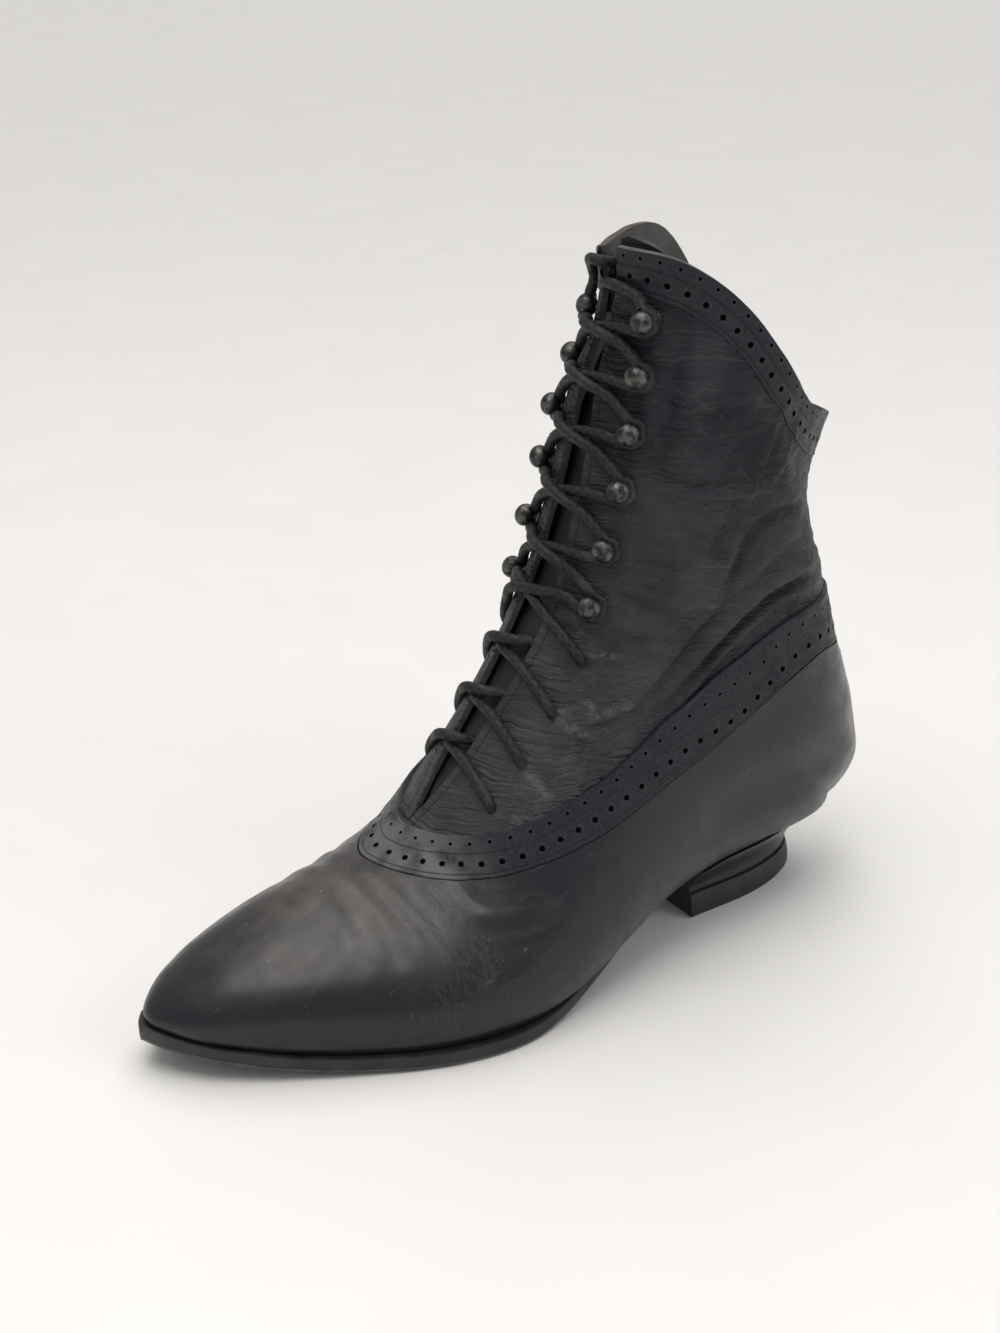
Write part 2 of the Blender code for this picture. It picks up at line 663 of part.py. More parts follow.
def seat_outline(steps=18):
    """Outline of the heel seat, from the lateral corner of the breast round the back to
    the medial one, with each point's share of the foot length."""
    turn = np.linspace(0, math.pi / 2, steps // 2 + 1)
    back = SEAT_BACK
    shares = back + HEEL_LENGTH * (1 - np.sin(turn))
    lateral, medial = plan(shares)
    out = curve(PLAN, "edge", shares, snug=False) * SOLE_THICKNESS
    hold = np.minimum(1, lateral / SOLE_THICKNESS)
    lateral, medial = lateral + out * hold, medial + out * hold
    lateral[-1] = medial[-1] = 0.0
    around = [(s, y) for s, y in zip(shares, lateral)]
    around += [(s, -y) for s, y in zip(shares[:-1][::-1], medial[:-1][::-1])]
    return np.array(around)


def heel_loops(rows, low, high, top_follows_sole):
    """Loops of the heel, each the seat's outline made shorter and narrower."""
    outline = seat_outline()
    breast = outline[0, 0]
    length = FOOT_LENGTH * HEEL_LENGTH
    loops = []
    for rise, long, wide, back in zip(*(rows[c] for c in ("rise", "length", "width", "breast"))):
        front = x_at(breast) - back * length
        x = front + (x_at(outline[:, 0]) - x_at(breast)) * (long - back)
        ceiling = sole_under(outline[:, 0]) - FIT if top_follows_sole else high
        z = low + (ceiling - low) * rise
        z = np.broadcast_to(z, x.shape)
        loops.append(np.stack([x, outline[:, 1] * wide, z], -1).tolist())
    return loops


def build_heel():
    loft("heel_block", heel_loops(HEEL, TOP_PIECE + FIT, None, True), HEEL_LACQUER)
    loft("heel_top_piece", heel_loops(TOP_LIFT, 0.0, TOP_PIECE, False), RUBBER)


def build_upper(skin):
    """The hollow upper, and the leathers stitched over it."""
    low_ring = TOE_RINGS + BACK_RINGS
    band_ring = low_ring + 1
    top_ring = band_ring + BAND_RINGS
    strip_ring = top_ring + QUARTER_RINGS
    last = strip_ring + COLLAR_RINGS
    skin.shell("upper", QUARTER_LEATHER, -WALL, 0.0)
    skin.shell("vamp_foxing", VAMP_LEATHER, FIT, FIT + OVERLAY, rings=(0, low_ring))
    proud = FIT + OVERLAY + BAND_PROUD
    skin.shell("brogue_band", QUARTER_LEATHER, FIT, proud, rings=(band_ring, top_ring))
    skin.shell("collar_band", QUARTER_LEATHER, FIT, FIT + COLLAR_PROUD, rings=(strip_ring, last))


def at_reach(ring, reach, side):
    """Place round the section that lies a given share of the ball width off the ridge."""
    spread = np.linspace(TURN, 1, 61)
    spots = last_point(np.full_like(spread, ring), spread, side)
    step = np.linalg.norm(np.diff(spots[::-1], axis=0), axis=1)
    run = np.concatenate([[0], np.cumsum(step)])
    return float(np.interp(reach * BALL_WIDTH, run, spread[::-1]))


def build_tongue():
    """Strip behind the throat, from inside the vamp to just over the collar."""
    rings = np.linspace(TONGUE_START, LAST_RING, TONGUE_STEPS)
    places = np.linspace(-1, 1, 2 * TONGUE_SIDE_STEPS + 1)
    loops = []
    for k, ring in enumerate([*rings, LAST_RING]):
        sink = TONGUE_SINK + TONGUE_DROP * (ring - TONGUE_START) / (LAST_RING - TONGUE_START)
        half = TONGUE_HALF * (TONGUE_NARROW + (1 - TONGUE_NARROW) * min(1, k / TONGUE_WIDENS))
        frames = []
        for place in places:
            side = 1 if place >= 0 else -1
            around = at_reach(ring, abs(place) * half / BALL_WIDTH, side)
            frames.append(skin_frame(ring, min(around, THROAT_MIDDLE), side))
        front = np.mean([frame[1] for frame in frames], axis=0)
        faces = [[], []]
        for place, (spot, out, up, _) in zip(places, frames):
            if k == len(rings):
                spot = spot + up * TONGUE_RISE * (TONGUE_PEAK - place ** 2)
            way = out + front
            way /= np.linalg.norm(way)
            faces[0].append(spot - way * (WALL + sink))
            faces[1].append(spot - way * (WALL + sink + TONGUE_THICKNESS))
        loops.append(faces[0] + faces[1][::-1])
    loft("tongue", loops, QUARTER_LEATHER)


def turned(name, profile, spot, out, stuff):
    """A round solid standing on a point, from rows of height and radius."""
    data = bpy.data.meshes.new(name)
    points = [(radius, 0, height) for height, radius in profile]
    data.from_pydata(points, [(k, k + 1) for k in range(len(points) - 1)], [])
    data.materials.append(stuff)
    made = bpy.data.objects.new(name, data)
    made.location = spot
    made.rotation_euler = Vector(out).to_track_quat("Z", "Y").to_euler()
    spin = made.modifiers.new("turn", "SCREW")
    spin.axis = "Z"
    spin.steps = HOOK_STEPS
    spin.render_steps = HOOK_STEPS
    spin.use_merge_vertices = True
    spin.merge_threshold = WELD
    spin.use_normal_calculate = True
    BOOT.objects.link(made)


def build_hooks():
    """Ball hooks, each a washer, a stem and a ball in one."""
    ball = HOOK_BALL / 2
    neck = math.asin(HOOK_STEM / HOOK_BALL)
    top = FIT + HOOK_WASHER
    profile = [
        (FIT, 0.0),
        (FIT, HOOK_BASE / 2),
        (FIT + HOOK_WASHER / 2, HOOK_BASE / 2),
        (top, HOOK_BASE / 2 - HOOK_WASHER / 2),
        (top, HOOK_STEM / 2),
    ]
    for angle in np.linspace(neck - math.pi / 2, math.pi / 2, BALL_STEPS):
        profile.append((HOOK_STAND + ball * math.sin(angle), ball * math.cos(angle)))
    for row, (ring, reach) in enumerate(zip(HOOKS["ring"], HOOKS["reach"]), 1):
        for side, name in ((1, "lateral"), (-1, "medial")):
            spot, out, _, _ = skin_frame(ring, at_reach(ring, reach, side), side)
            turned(f"hook_{name}_{row}", profile, spot, out, HOOK_METAL)


def over_throat(ring, reach, lift):
    """A point over the leather, reach being signed: lateral is positive."""
    side = 1 if reach >= 0 else -1
    around = min(at_reach(ring, abs(reach), side), THROAT_MIDDLE)
    spot, out, _, _ = skin_frame(ring, around, side)
    return spot + out * lift


def lace_run(start):
    """Points of one run of lace, from the lowest hole on one side to the highest hook,
    crossing the throat between each two rows, and the side where it ends."""
    rows = [(r, w, 0.0) for r, w in zip(HOLES["ring"], HOLES["reach"])]
    rows += [(r, w, HOOK_WRAP) for r, w in zip(HOOKS["ring"], HOOKS["reach"])]
    over = LACE_LIFT + LACE / 2
    points = []
    side = start
    for k, (ring, reach, wrap) in enumerate(rows):
        spot, out, up, away = skin_frame(ring, at_reach(ring, reach, side), side)
        if wrap:
            topmost = k == len(rows) - 1
            hub = spot + out * (OVER_BAND if topmost else HOOK_WASHER + over)
            for turn in WRAP_TURNS:
                angle = math.radians(turn)
                points.append(hub + (away * math.cos(angle) + up * math.sin(angle)) * wrap)
        else:
            points.append(spot + out * (OVER_BAND if k == 0 else over))
        if k + 1 < len(rows):
            next_ring, next_reach, next_wrap = rows[k + 1]
            climb = np.linalg.norm(last_point(next_ring, 1.0, side) - last_point(ring, 1.0, side))
            per_metre = (next_ring - ring) / climb
            first, final = ring + wrap * per_metre, next_ring - next_wrap * per_metre
            for t in LACE_PLACES:
                across = side * (reach * (1 - t) - next_reach * t)
                points.append(over_throat(first + (final - first) * t, across, over))
            side = -side
    return points, side


def tube(name, points):
    """A round cord through points, with flat ends."""
    path = bpy.data.curves.new(name, "CURVE")
    path.dimensions = "3D"
    path.bevel_depth = LACE / 2
    path.bevel_resolution = 2
    path.use_fill_caps = True
    line = path.splines.new("POLY")
    line.points.add(len(points) - 1)
    for spot, point in zip(line.points, points):
        spot.co = (*point, 1)
    path.materials.append(CORD)
    made = bpy.data.objects.new(name, path)
    BOOT.objects.link(made)
    return made


def as_mesh(cord):
    """Turns a cord into a welded mesh, so that it can be joined."""
    name = cord.name
    data = bpy.data.meshes.new_from_object(cord)
    bpy.data.objects.remove(cord)
    mesh = bmesh.new()
    mesh.from_mesh(data)
    return finish(name, mesh, CORD)


def build_lace():
    """The crossings, joined in one solid, and the two ends that go into the shaft."""
    first, first_side = lace_run(1)
    second, second_side = lace_run(-1)
    ring, reach = HOLES["ring"][0], HOLES["reach"][0]
    bar = [over_throat(ring, reach * t, OVER_BAND) for t in BAR_PLACES]
    base = as_mesh(tube("lace_crossings", first))
    other = as_mesh(tube("lace_other_run", first[:1] + bar + second))
    join = base.modifiers.new("join", "BOOLEAN")
    join.operation = "UNION"
    join.solver = "EXACT"
    join.object = other
    graph = bpy.context.evaluated_depsgraph_get()
    base.data = bpy.data.meshes.new_from_object(base.evaluated_get(graph))
    base.modifiers.clear()
    bpy.data.objects.remove(other)
    for run, before, side in ((first, first[-2], first_side), (second, second[-2], second_side)):
        build_lace_end(run[-1], run[-1] - before, side)


def build_lace_end(last, way, side):
    """A lace end, from the highest hook over the edge of the facing into the shaft."""
    name = "lateral" if side > 0 else "medial"
    ring, reach = HOOKS["ring"][-1], HOOKS["reach"][-1]
    inside = WALL + (TONGUE_SINK + TONGUE_DROP) / 2
    way = way / np.linalg.norm(way)
    points = [last + way * FIT, last + way * (FIT + LACE / 2)]
    for climb, share, lift in LACE_ENDS[name]:
        height = OVER_BAND if lift > 0 else inside * lift
        points.append(over_throat(ring + climb, side * reach * share, height))
    tube(f"lace_end_{name}", points)


BOOT = None


def main():
    for old in list(bpy.data.objects):
        bpy.data.objects.remove(old)
    global BOOT, QUARTER_LEATHER, VAMP_LEATHER, RUBBER, LINING, HEEL_LACQUER, HOOK_METAL, CORD
    BOOT = bpy.data.collections.new("victorian_boot")
    bpy.context.scene.collection.children.link(BOOT)
    QUARTER_LEATHER = material("quarter_leather", (0.018, 0.018, 0.020), 0.48)
    VAMP_LEATHER = material("vamp_leather", (0.012, 0.012, 0.014), 0.30)
    RUBBER = material("sole_rubber", (0.014, 0.014, 0.015), 0.55)
    LINING = material("lining", (0.045, 0.042, 0.042), 0.80)
    HEEL_LACQUER = material("heel_lacquer", (0.016, 0.016, 0.018), 0.32)
    HOOK_METAL = material("hook_metal", (0.14, 0.135, 0.13), 0.38, 0.9)
    CORD = material("lace_cord", (0.020, 0.020, 0.022), 0.85)
    build_upper(Skin(ring_lines()))
    build_outsole()
    build_insole()
    build_heel()
    build_tongue()
    build_hooks()
    build_lace()


main()
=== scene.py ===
import math

import bmesh
import bpy
import numpy as np
from mathutils import Matrix


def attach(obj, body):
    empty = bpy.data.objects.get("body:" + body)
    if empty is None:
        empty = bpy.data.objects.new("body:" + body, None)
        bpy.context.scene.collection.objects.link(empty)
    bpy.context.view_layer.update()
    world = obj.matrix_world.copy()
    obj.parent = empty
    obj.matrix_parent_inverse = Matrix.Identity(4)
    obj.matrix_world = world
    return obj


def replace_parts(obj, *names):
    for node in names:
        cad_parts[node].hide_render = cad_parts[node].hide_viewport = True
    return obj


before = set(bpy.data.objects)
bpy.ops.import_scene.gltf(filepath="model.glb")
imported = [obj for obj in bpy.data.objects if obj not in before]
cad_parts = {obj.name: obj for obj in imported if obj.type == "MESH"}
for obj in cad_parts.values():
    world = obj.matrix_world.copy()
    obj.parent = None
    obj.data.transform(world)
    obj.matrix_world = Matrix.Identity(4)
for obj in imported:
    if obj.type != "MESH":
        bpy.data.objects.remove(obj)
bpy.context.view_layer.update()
print("frame loaded")
draw = np.random.default_rng(11)
tiny = 1e-5
weld = 2e-6

# The boot's own sizes in metres. +X is the toe, +Y the outer side, +Z up.
boot = {
    "footLength": 0.2505,
    "heelSet": 0.0465,
    "ballWidth": 0.082,
    "heelHeight": 0.0225,
    "toeSpring": 0.009,
    "shaftHeight": 0.195,
    "soleThickness": 0.005,
    "onSole": 0.0003,
    "seatBack": 0.062,
    "seatRound": 0.15,
    "toeRound": 0.045,
    "wall": 0.0018,
    "overlay": 0.0014,      # vamp and foxing over the quarter
    "band": 0.0015,         # brogued strips over the quarter
    "collarBand": 0.0004,
    "gap": 0.0002,
    "lastRing": 22,
    "curlRings": (9, 12),   # from here the foot rounds into the heel
    "swellRing": 14,        # the collar's curve starts here
    "pullRings": (13, 10),  # the outer facing is pulled back below these
    "pull": 0.7,
    "turn": 0.40,
    "leanFrom": 0.66,
    "leanShare": 0.2,
    "nearRidge": 0.99,
}


def table(columns, rows):
    return dict(zip(columns.split(), np.array(rows, float).T))


def ramp(value, start, end):
    return np.clip((value - start) / (end - start), 0, 1)


def eased(share):
    return share * share * (3 - 2 * share)


def unit(way):
    return way / np.linalg.norm(way)


def runAlong(points):
    return np.concatenate([[0], np.cumsum(np.linalg.norm(np.diff(points, axis=0), axis=1))])


def newObject(name, data):
    made = bpy.data.objects.new(name, data)
    bpy.context.scene.collection.objects.link(made)
    return made


# side view of the sole, as shares of heel height, toe spring and sole thickness
soleLine = table("share heel spring thick", [
    (0.000, 1.000, 0.00, 0.60),
    (0.146, 1.000, 0.00, 0.60),
    (0.234, 0.975, 0.00, 0.60),
    (0.300, 0.860, 0.00, 0.60),
    (0.365, 0.680, 0.00, 0.62),
    (0.433, 0.450, 0.00, 0.70),
    (0.505, 0.205, 0.00, 0.84),
    (0.565, 0.050, 0.00, 0.96),
    (0.605, 0.000, 0.00, 1.00),
    (0.705, 0.000, 0.00, 1.00),
    (0.784, 0.000, 0.07, 1.00),
    (0.856, 0.000, 0.24, 1.00),
    (0.924, 0.000, 0.55, 1.00),
    (1.000, 0.000, 1.00, 1.00),
])
# plan of the feather line, half widths over the ball width, and how far the sole stands out
planLine = table("share lateral medial edge", [
    (0.060, 0.288, 0.290, -0.26),
    (0.150, 0.292, 0.286, -0.26),
    (0.230, 0.304, 0.280, -0.26),
    (0.300, 0.318, 0.266, -0.28),
    (0.365, 0.342, 0.258, -0.30),
    (0.433, 0.408, 0.276, -0.25),
    (0.505, 0.482, 0.340, 0.02),
    (0.565, 0.528, 0.402, 0.42),
    (0.625, 0.548, 0.446, 0.72),
    (0.685, 0.532, 0.460, 0.74),
    (0.745, 0.478, 0.442, 0.72),
    (0.800, 0.402, 0.404, 0.70),
    (0.860, 0.312, 0.345, 0.66),
    (0.915, 0.218, 0.272, 0.62),
    (0.960, 0.124, 0.208, 0.60),
    (1.000, 0.020, 0.160, 0.60),
])
# sections of the last, from the toe tip to the collar
ringTable = table("footX footRise topX topRise lateral medial ridge widest round seam gap lean", [
    (1.000, 0.000, 1.000, 0.030, 0.030, 0.170, -0.080, 0.40, 2.00, 2.00, 0.000, 0.000),
    (0.967, 0.000, 0.967, 0.056, 0.118, 0.208, -0.080, 0.40, 2.00, 2.00, 0.000, 0.000),
    (0.918, 0.000, 0.918, 0.104, 0.222, 0.274, -0.076, 0.38, 1.95, 2.00, 0.000, 0.000),
    (0.848, 0.000, 0.848, 0.150, 0.344, 0.356, -0.068, 0.35, 1.85, 2.00, 0.000, 0.000),
    (0.768, 0.000, 0.774, 0.182, 0.460, 0.424, -0.056, 0.31, 1.75, 2.00, 0.000, 0.000),
    (0.684, 0.000, 0.711, 0.211, 0.552, 0.472, -0.042, 0.29, 1.70, 2.00, 0.000, 0.000),
    (0.600, 0.000, 0.657, 0.254, 0.574, 0.480, -0.030, 0.28, 1.72, 2.00, 0.000, 0.000),
    (0.517, 0.000, 0.609, 0.324, 0.556, 0.464, -0.035, 0.29, 1.80, 2.00, 0.035, 0.000),
    (0.425, 0.000, 0.565, 0.389, 0.512, 0.442, -0.040, 0.31, 1.90, 2.00, 0.048, 0.000),
    (0.330, 0.000, 0.523, 0.455, 0.466, 0.426, -0.038, 0.34, 2.00, 2.00, 0.058, 0.000),
    (0.233, 0.000, 0.489, 0.517, 0.436, 0.414, -0.034, 0.39, 2.12, 2.00, 0.062, 0.000),
    (0.146, 0.000, 0.465, 0.568, 0.424, 0.406, -0.026, 0.42, 2.30, 2.20, 0.064, 0.000),
    (0.062, 0.000, 0.450, 0.610, 0.416, 0.400, -0.014, 0.45, 2.45, 2.50, 0.066, 0.000),
    (0.007, 0.046, 0.437, 0.662, 0.410, 0.396, -0.004, 0.47, 2.50, 2.40, 0.066, 0.000),
    (0.004, 0.112, 0.423, 0.718, 0.404, 0.392, 0.000, 0.48, 2.50, 2.20, 0.064, 0.000),
    (0.017, 0.190, 0.411, 0.771, 0.402, 0.390, 0.000, 0.49, 2.40, 2.05, 0.054, 0.000),
    (0.036, 0.257, 0.402, 0.819, 0.402, 0.390, 0.000, 0.50, 2.30, 2.00, 0.045, 0.000),
    (0.053, 0.333, 0.395, 0.866, 0.408, 0.390, 0.004, 0.50, 2.20, 1.95, 0.039, 0.030),
    (0.062, 0.405, 0.390, 0.907, 0.414, 0.392, 0.014, 0.50, 2.20, 1.90, 0.032, 0.085),
    (0.077, 0.472, 0.388, 0.944, 0.420, 0.394, 0.022, 0.50, 2.20, 1.80, 0.029, 0.135),
    (0.083, 0.540, 0.389, 0.979, 0.424, 0.396, 0.030, 0.50, 2.20, 1.70, 0.032, 0.175),
    (0.070, 0.607, 0.394, 1.013, 0.428, 0.398, 0.038, 0.50, 2.20, 1.60, 0.042, 0.190),
    (0.041, 0.674, 0.400, 1.045, 0.432, 0.400, 0.048, 0.50, 2.20, 1.50, 0.052, 0.190),
])
collarLine = table("along lateral medial", [
    (0.00, 0.000, 0.000),
    (0.12, -0.022, 0.000),
    (0.30, -0.032, 0.050),
    (0.50, -0.006, 0.108),
    (0.66, 0.020, 0.112),
    (0.80, 0.030, 0.074),
    (0.92, 0.022, 0.014),
    (1.00, 0.000, 0.000),
])
# edges of the brogued band, heights over the sole line as shares of the shaft height
bandLine = table("share low top", [
    (0.000, 0.292, 0.392),
    (0.060, 0.305, 0.404),
    (0.130, 0.329, 0.416),
    (0.195, 0.306, 0.408),
    (0.250, 0.274, 0.386),
    (0.310, 0.251, 0.363),
    (0.380, 0.241, 0.338),
    (0.450, 0.232, 0.308),
    (0.520, 0.230, 0.292),
    (0.585, 0.226, 0.278),
    (0.640, 0.213, 0.258),
    (0.680, 0.209, 0.249),
    (0.730, 0.210, 0.245),
    (0.800, 0.214, 0.240),
])


def smoothLine(rows, column, at, key="share", snug=True):
    xs = rows[key] if key else np.arange(len(rows[column]), dtype=float)
    ys = rows[column]
    step = np.diff(xs)
    rise = np.diff(ys) / step
    slope = np.empty_like(ys)
    slope[0], slope[-1] = rise[0], rise[-1]
    mid = (rise[:-1] * step[1:] + rise[1:] * step[:-1]) / (step[1:] + step[:-1])
    if snug:
        mid = np.where(rise[:-1] * rise[1:] > 0, mid, 0.0)
        mid = np.sign(mid) * np.minimum(abs(mid), 3 * np.minimum(abs(rise[:-1]), abs(rise[1:])))
    slope[1:-1] = mid
    at = np.clip(np.asarray(at, float), xs[0], xs[-1])
    i = np.clip(np.searchsorted(xs, at, side="right") - 1, 0, len(xs) - 2)
    h = step[i]
    t = (at - xs[i]) / h
    return ((1 + 2 * t) * (1 - t) ** 2 * ys[i] + t * (1 - t) ** 2 * h * slope[i]
            + t * t * (3 - 2 * t) * ys[i + 1] + t * t * (t - 1) * h * slope[i + 1])


def xAt(share):
    return share * boot["footLength"] - boot["heelSet"]


def shareAt(x):
    return (x + boot["heelSet"]) / boot["footLength"]


def soleUnder(share):
    heel = smoothLine(soleLine, "heel", share) * boot["heelHeight"]
    return heel + smoothLine(soleLine, "spring", share) * boot["toeSpring"]


def soleTop(share):
    return soleUnder(share) + smoothLine(soleLine, "thick", share) * boot["soleThickness"]


def tipRound(share):
    k = np.clip((share - 1 + boot["toeRound"]) / boot["toeRound"], 0, 1)
    return np.sqrt(1 - k * k)


def seatRound(share):
    k = np.clip((boot["seatBack"] + boot["seatRound"] - share) / boot["seatRound"], 0, 1)
    return np.sqrt(np.clip(1 - k ** 2, 0, 1))


def roundedPair(lateral, medial, share):
    middle, half = (lateral - medial) / 2, (lateral + medial) / 2
    half = half * tipRound(share)
    return middle + half, half - middle


def plan(share):
    lateral = smoothLine(planLine, "lateral", share, snug=False) * boot["ballWidth"]
    medial = smoothLine(planLine, "medial", share, snug=False) * boot["ballWidth"]
    lateral, medial = roundedPair(lateral, medial, share)
    return lateral * seatRound(share), medial * seatRound(share)


def ringValue(column, ring):
    return smoothLine(ringTable, column, ring, key=None, snug=False)


def sectionWidths(ring):
    return [ringValue(name, ring) * boot["ballWidth"] for name in ("lateral", "medial")]


def ridgeLine(ring):
    lateral, medial = sectionWidths(ring)
    middle = (lateral - medial) / 2
    off = ringValue("ridge", ring) * boot["ballWidth"] - middle
    return middle + off * tipRound(ringValue("footX", ring))


def lastPoint(ring, around, side):
    # a point of the last: around is 0 at the feather line or back seam, 1 at the ridge
    ring, around = np.broadcast_arrays(np.asarray(ring, float), np.asarray(around, float))
    turn, shaft = boot["turn"], boot["shaftHeight"]
    foot, top = ringValue("footX", ring), ringValue("topX", ring)
    footRise = ringValue("footRise", ring)
    lowRise = soleTop(foot) + boot["onSole"] + np.maximum(footRise, 0) * shaft
    low = np.stack([xAt(foot), lowRise], -1)
    crown = ringValue("topRise", ring) * shaft * tipRound(foot)
    run = np.stack([xAt(top), soleTop(top) + boot["onSole"] + crown], -1) - low
    hand = 0 if side > 0 else 1
    wide = roundedPair(*sectionWidths(ring), foot)[hand]
    grounded = (foot > boot["seatBack"]) & (footRise < tiny / 10)
    feather = np.where(grounded, plan(foot)[hand], 0.0)
    ridge = ridgeLine(ring) * side
    widest, power, seam = (ringValue(c, ring) for c in ("widest", "round", "seam"))
    # up to the widest place
    up = np.clip(around / turn, 0, 1) * math.pi / 2
    curl = 1 - np.clip(feather / np.maximum(wide, tiny), 0, 1)
    curl = curl + (1 - curl) * eased(ramp(ring, *boot["curlRings"]))
    bow = 1 - np.clip(np.cos(up), 0, 1) ** (2 / seam)
    lowY = feather + (wide - feather) * np.sin(up) ** (2 / seam)
    lowV = widest * ((1 - curl) * up / (math.pi / 2) + curl * bow)
    # and from there over to the ridge
    over = ramp(around, turn, 1) * math.pi / 2
    highY = ridge + np.maximum(wide - ridge, tiny) * np.clip(np.cos(over), 0, 1) ** (2 / power)
    highV = widest + (1 - widest) * np.sin(over) ** (2 / power)
    y = np.where(around <= turn, lowY, highY)
    v = np.where(around <= turn, lowV, highV)
    near = eased(ramp(around, boot["leanFrom"], 1))
    lean = boot["leanShare"] * near if side > 0 else 1 - (1 - boot["leanShare"]) * near
    v = v * (1 - lean * ringValue("lean", ring))
    fade = ramp(ring, boot["swellRing"], boot["lastRing"]) ** 2
    name = "lateral" if side > 0 else "medial"
    swell = smoothLine(collarLine, name, v, key="along", snug=False) * shaft * fade
    length = np.maximum(np.linalg.norm(run, axis=-1), tiny)
    across = np.stack([-run[..., 1], run[..., 0]], -1) / length[..., None]
    spot = low + v[..., None] * run + swell[..., None] * across
    return np.stack([spot[..., 0], side * y, spot[..., 1]], -1)


def throatEdge(ring, side):
    reach = sectionWidths(ring)[0 if side > 0 else 1] - ridgeLine(ring) * side
    pulled = 1 + (boot["pull"] * ramp(ring, *boot["pullRings"]) if side > 0 else 0)
    share = ringValue("gap", ring) * pulled * boot["ballWidth"] / np.maximum(reach, tiny)
    over = np.arccos(np.clip(share, 0, 1) ** (ringValue("round", ring) / 2))
    return boot["turn"] + (1 - boot["turn"]) * over / (math.pi / 2)


def skinPoint(ring, step, side):
    # as lastPoint, but step 1 is the edge of the facing
    ring, step = np.broadcast_arrays(np.asarray(ring, float), np.asarray(step, float))
    turn = boot["turn"]
    facing = turn + ramp(step, turn, 1) * (throatEdge(ring, side) - turn)
    return lastPoint(ring, np.where(step <= turn, step, facing), side)


def skinFrame(ring, around, side, ringStep=0.05, aroundStep=0.01):
    # a point, and the ways out, up and across from it
    up = lastPoint(ring + ringStep, around, side) - lastPoint(ring - ringStep, around, side)
    away = lastPoint(ring, around - aroundStep, side) - lastPoint(ring, around + aroundStep, side)
    out, up = unit(np.cross(away, up) * side), unit(up)
    return lastPoint(ring, around, side), out, up, np.cross(up, out) * side


def atReach(ring, reach, side):
    # place round the section that lies a share of the ball width off the ridge
    spread = np.linspace(boot["turn"], 1, 121)
    run = runAlong(lastPoint(np.full_like(spread, ring), spread, side)[::-1])
    return float(np.interp(reach * boot["ballWidth"], run, spread[::-1]))


def ringOnLine(column, step, side):
    rings = np.linspace(2.0, boot["lastRing"], 801)
    spots = skinPoint(rings, step, side)
    share = shareAt(spots[:, 0])
    over = spots[:, 2] - soleTop(share) - smoothLine(bandLine, column, share) * boot["shaftHeight"]
    i = int(np.argmax(over > 0))
    t = over[i - 1] / (over[i - 1] - over[i])
    return rings[i - 1] + t * (rings[i] - rings[i - 1])


def ringBelowCollar(depth, step, side):
    rings = np.linspace(boot["lastRing"], boot["swellRing"], 201)
    return float(np.interp(depth, runAlong(skinPoint(rings, step, side)), rings))


def ringsPerMetre(ring, step, side, off=0.02):
    ends = skinPoint(ring + off, step, side) - skinPoint(ring - off, step, side)
    return 2 * off / np.linalg.norm(ends)


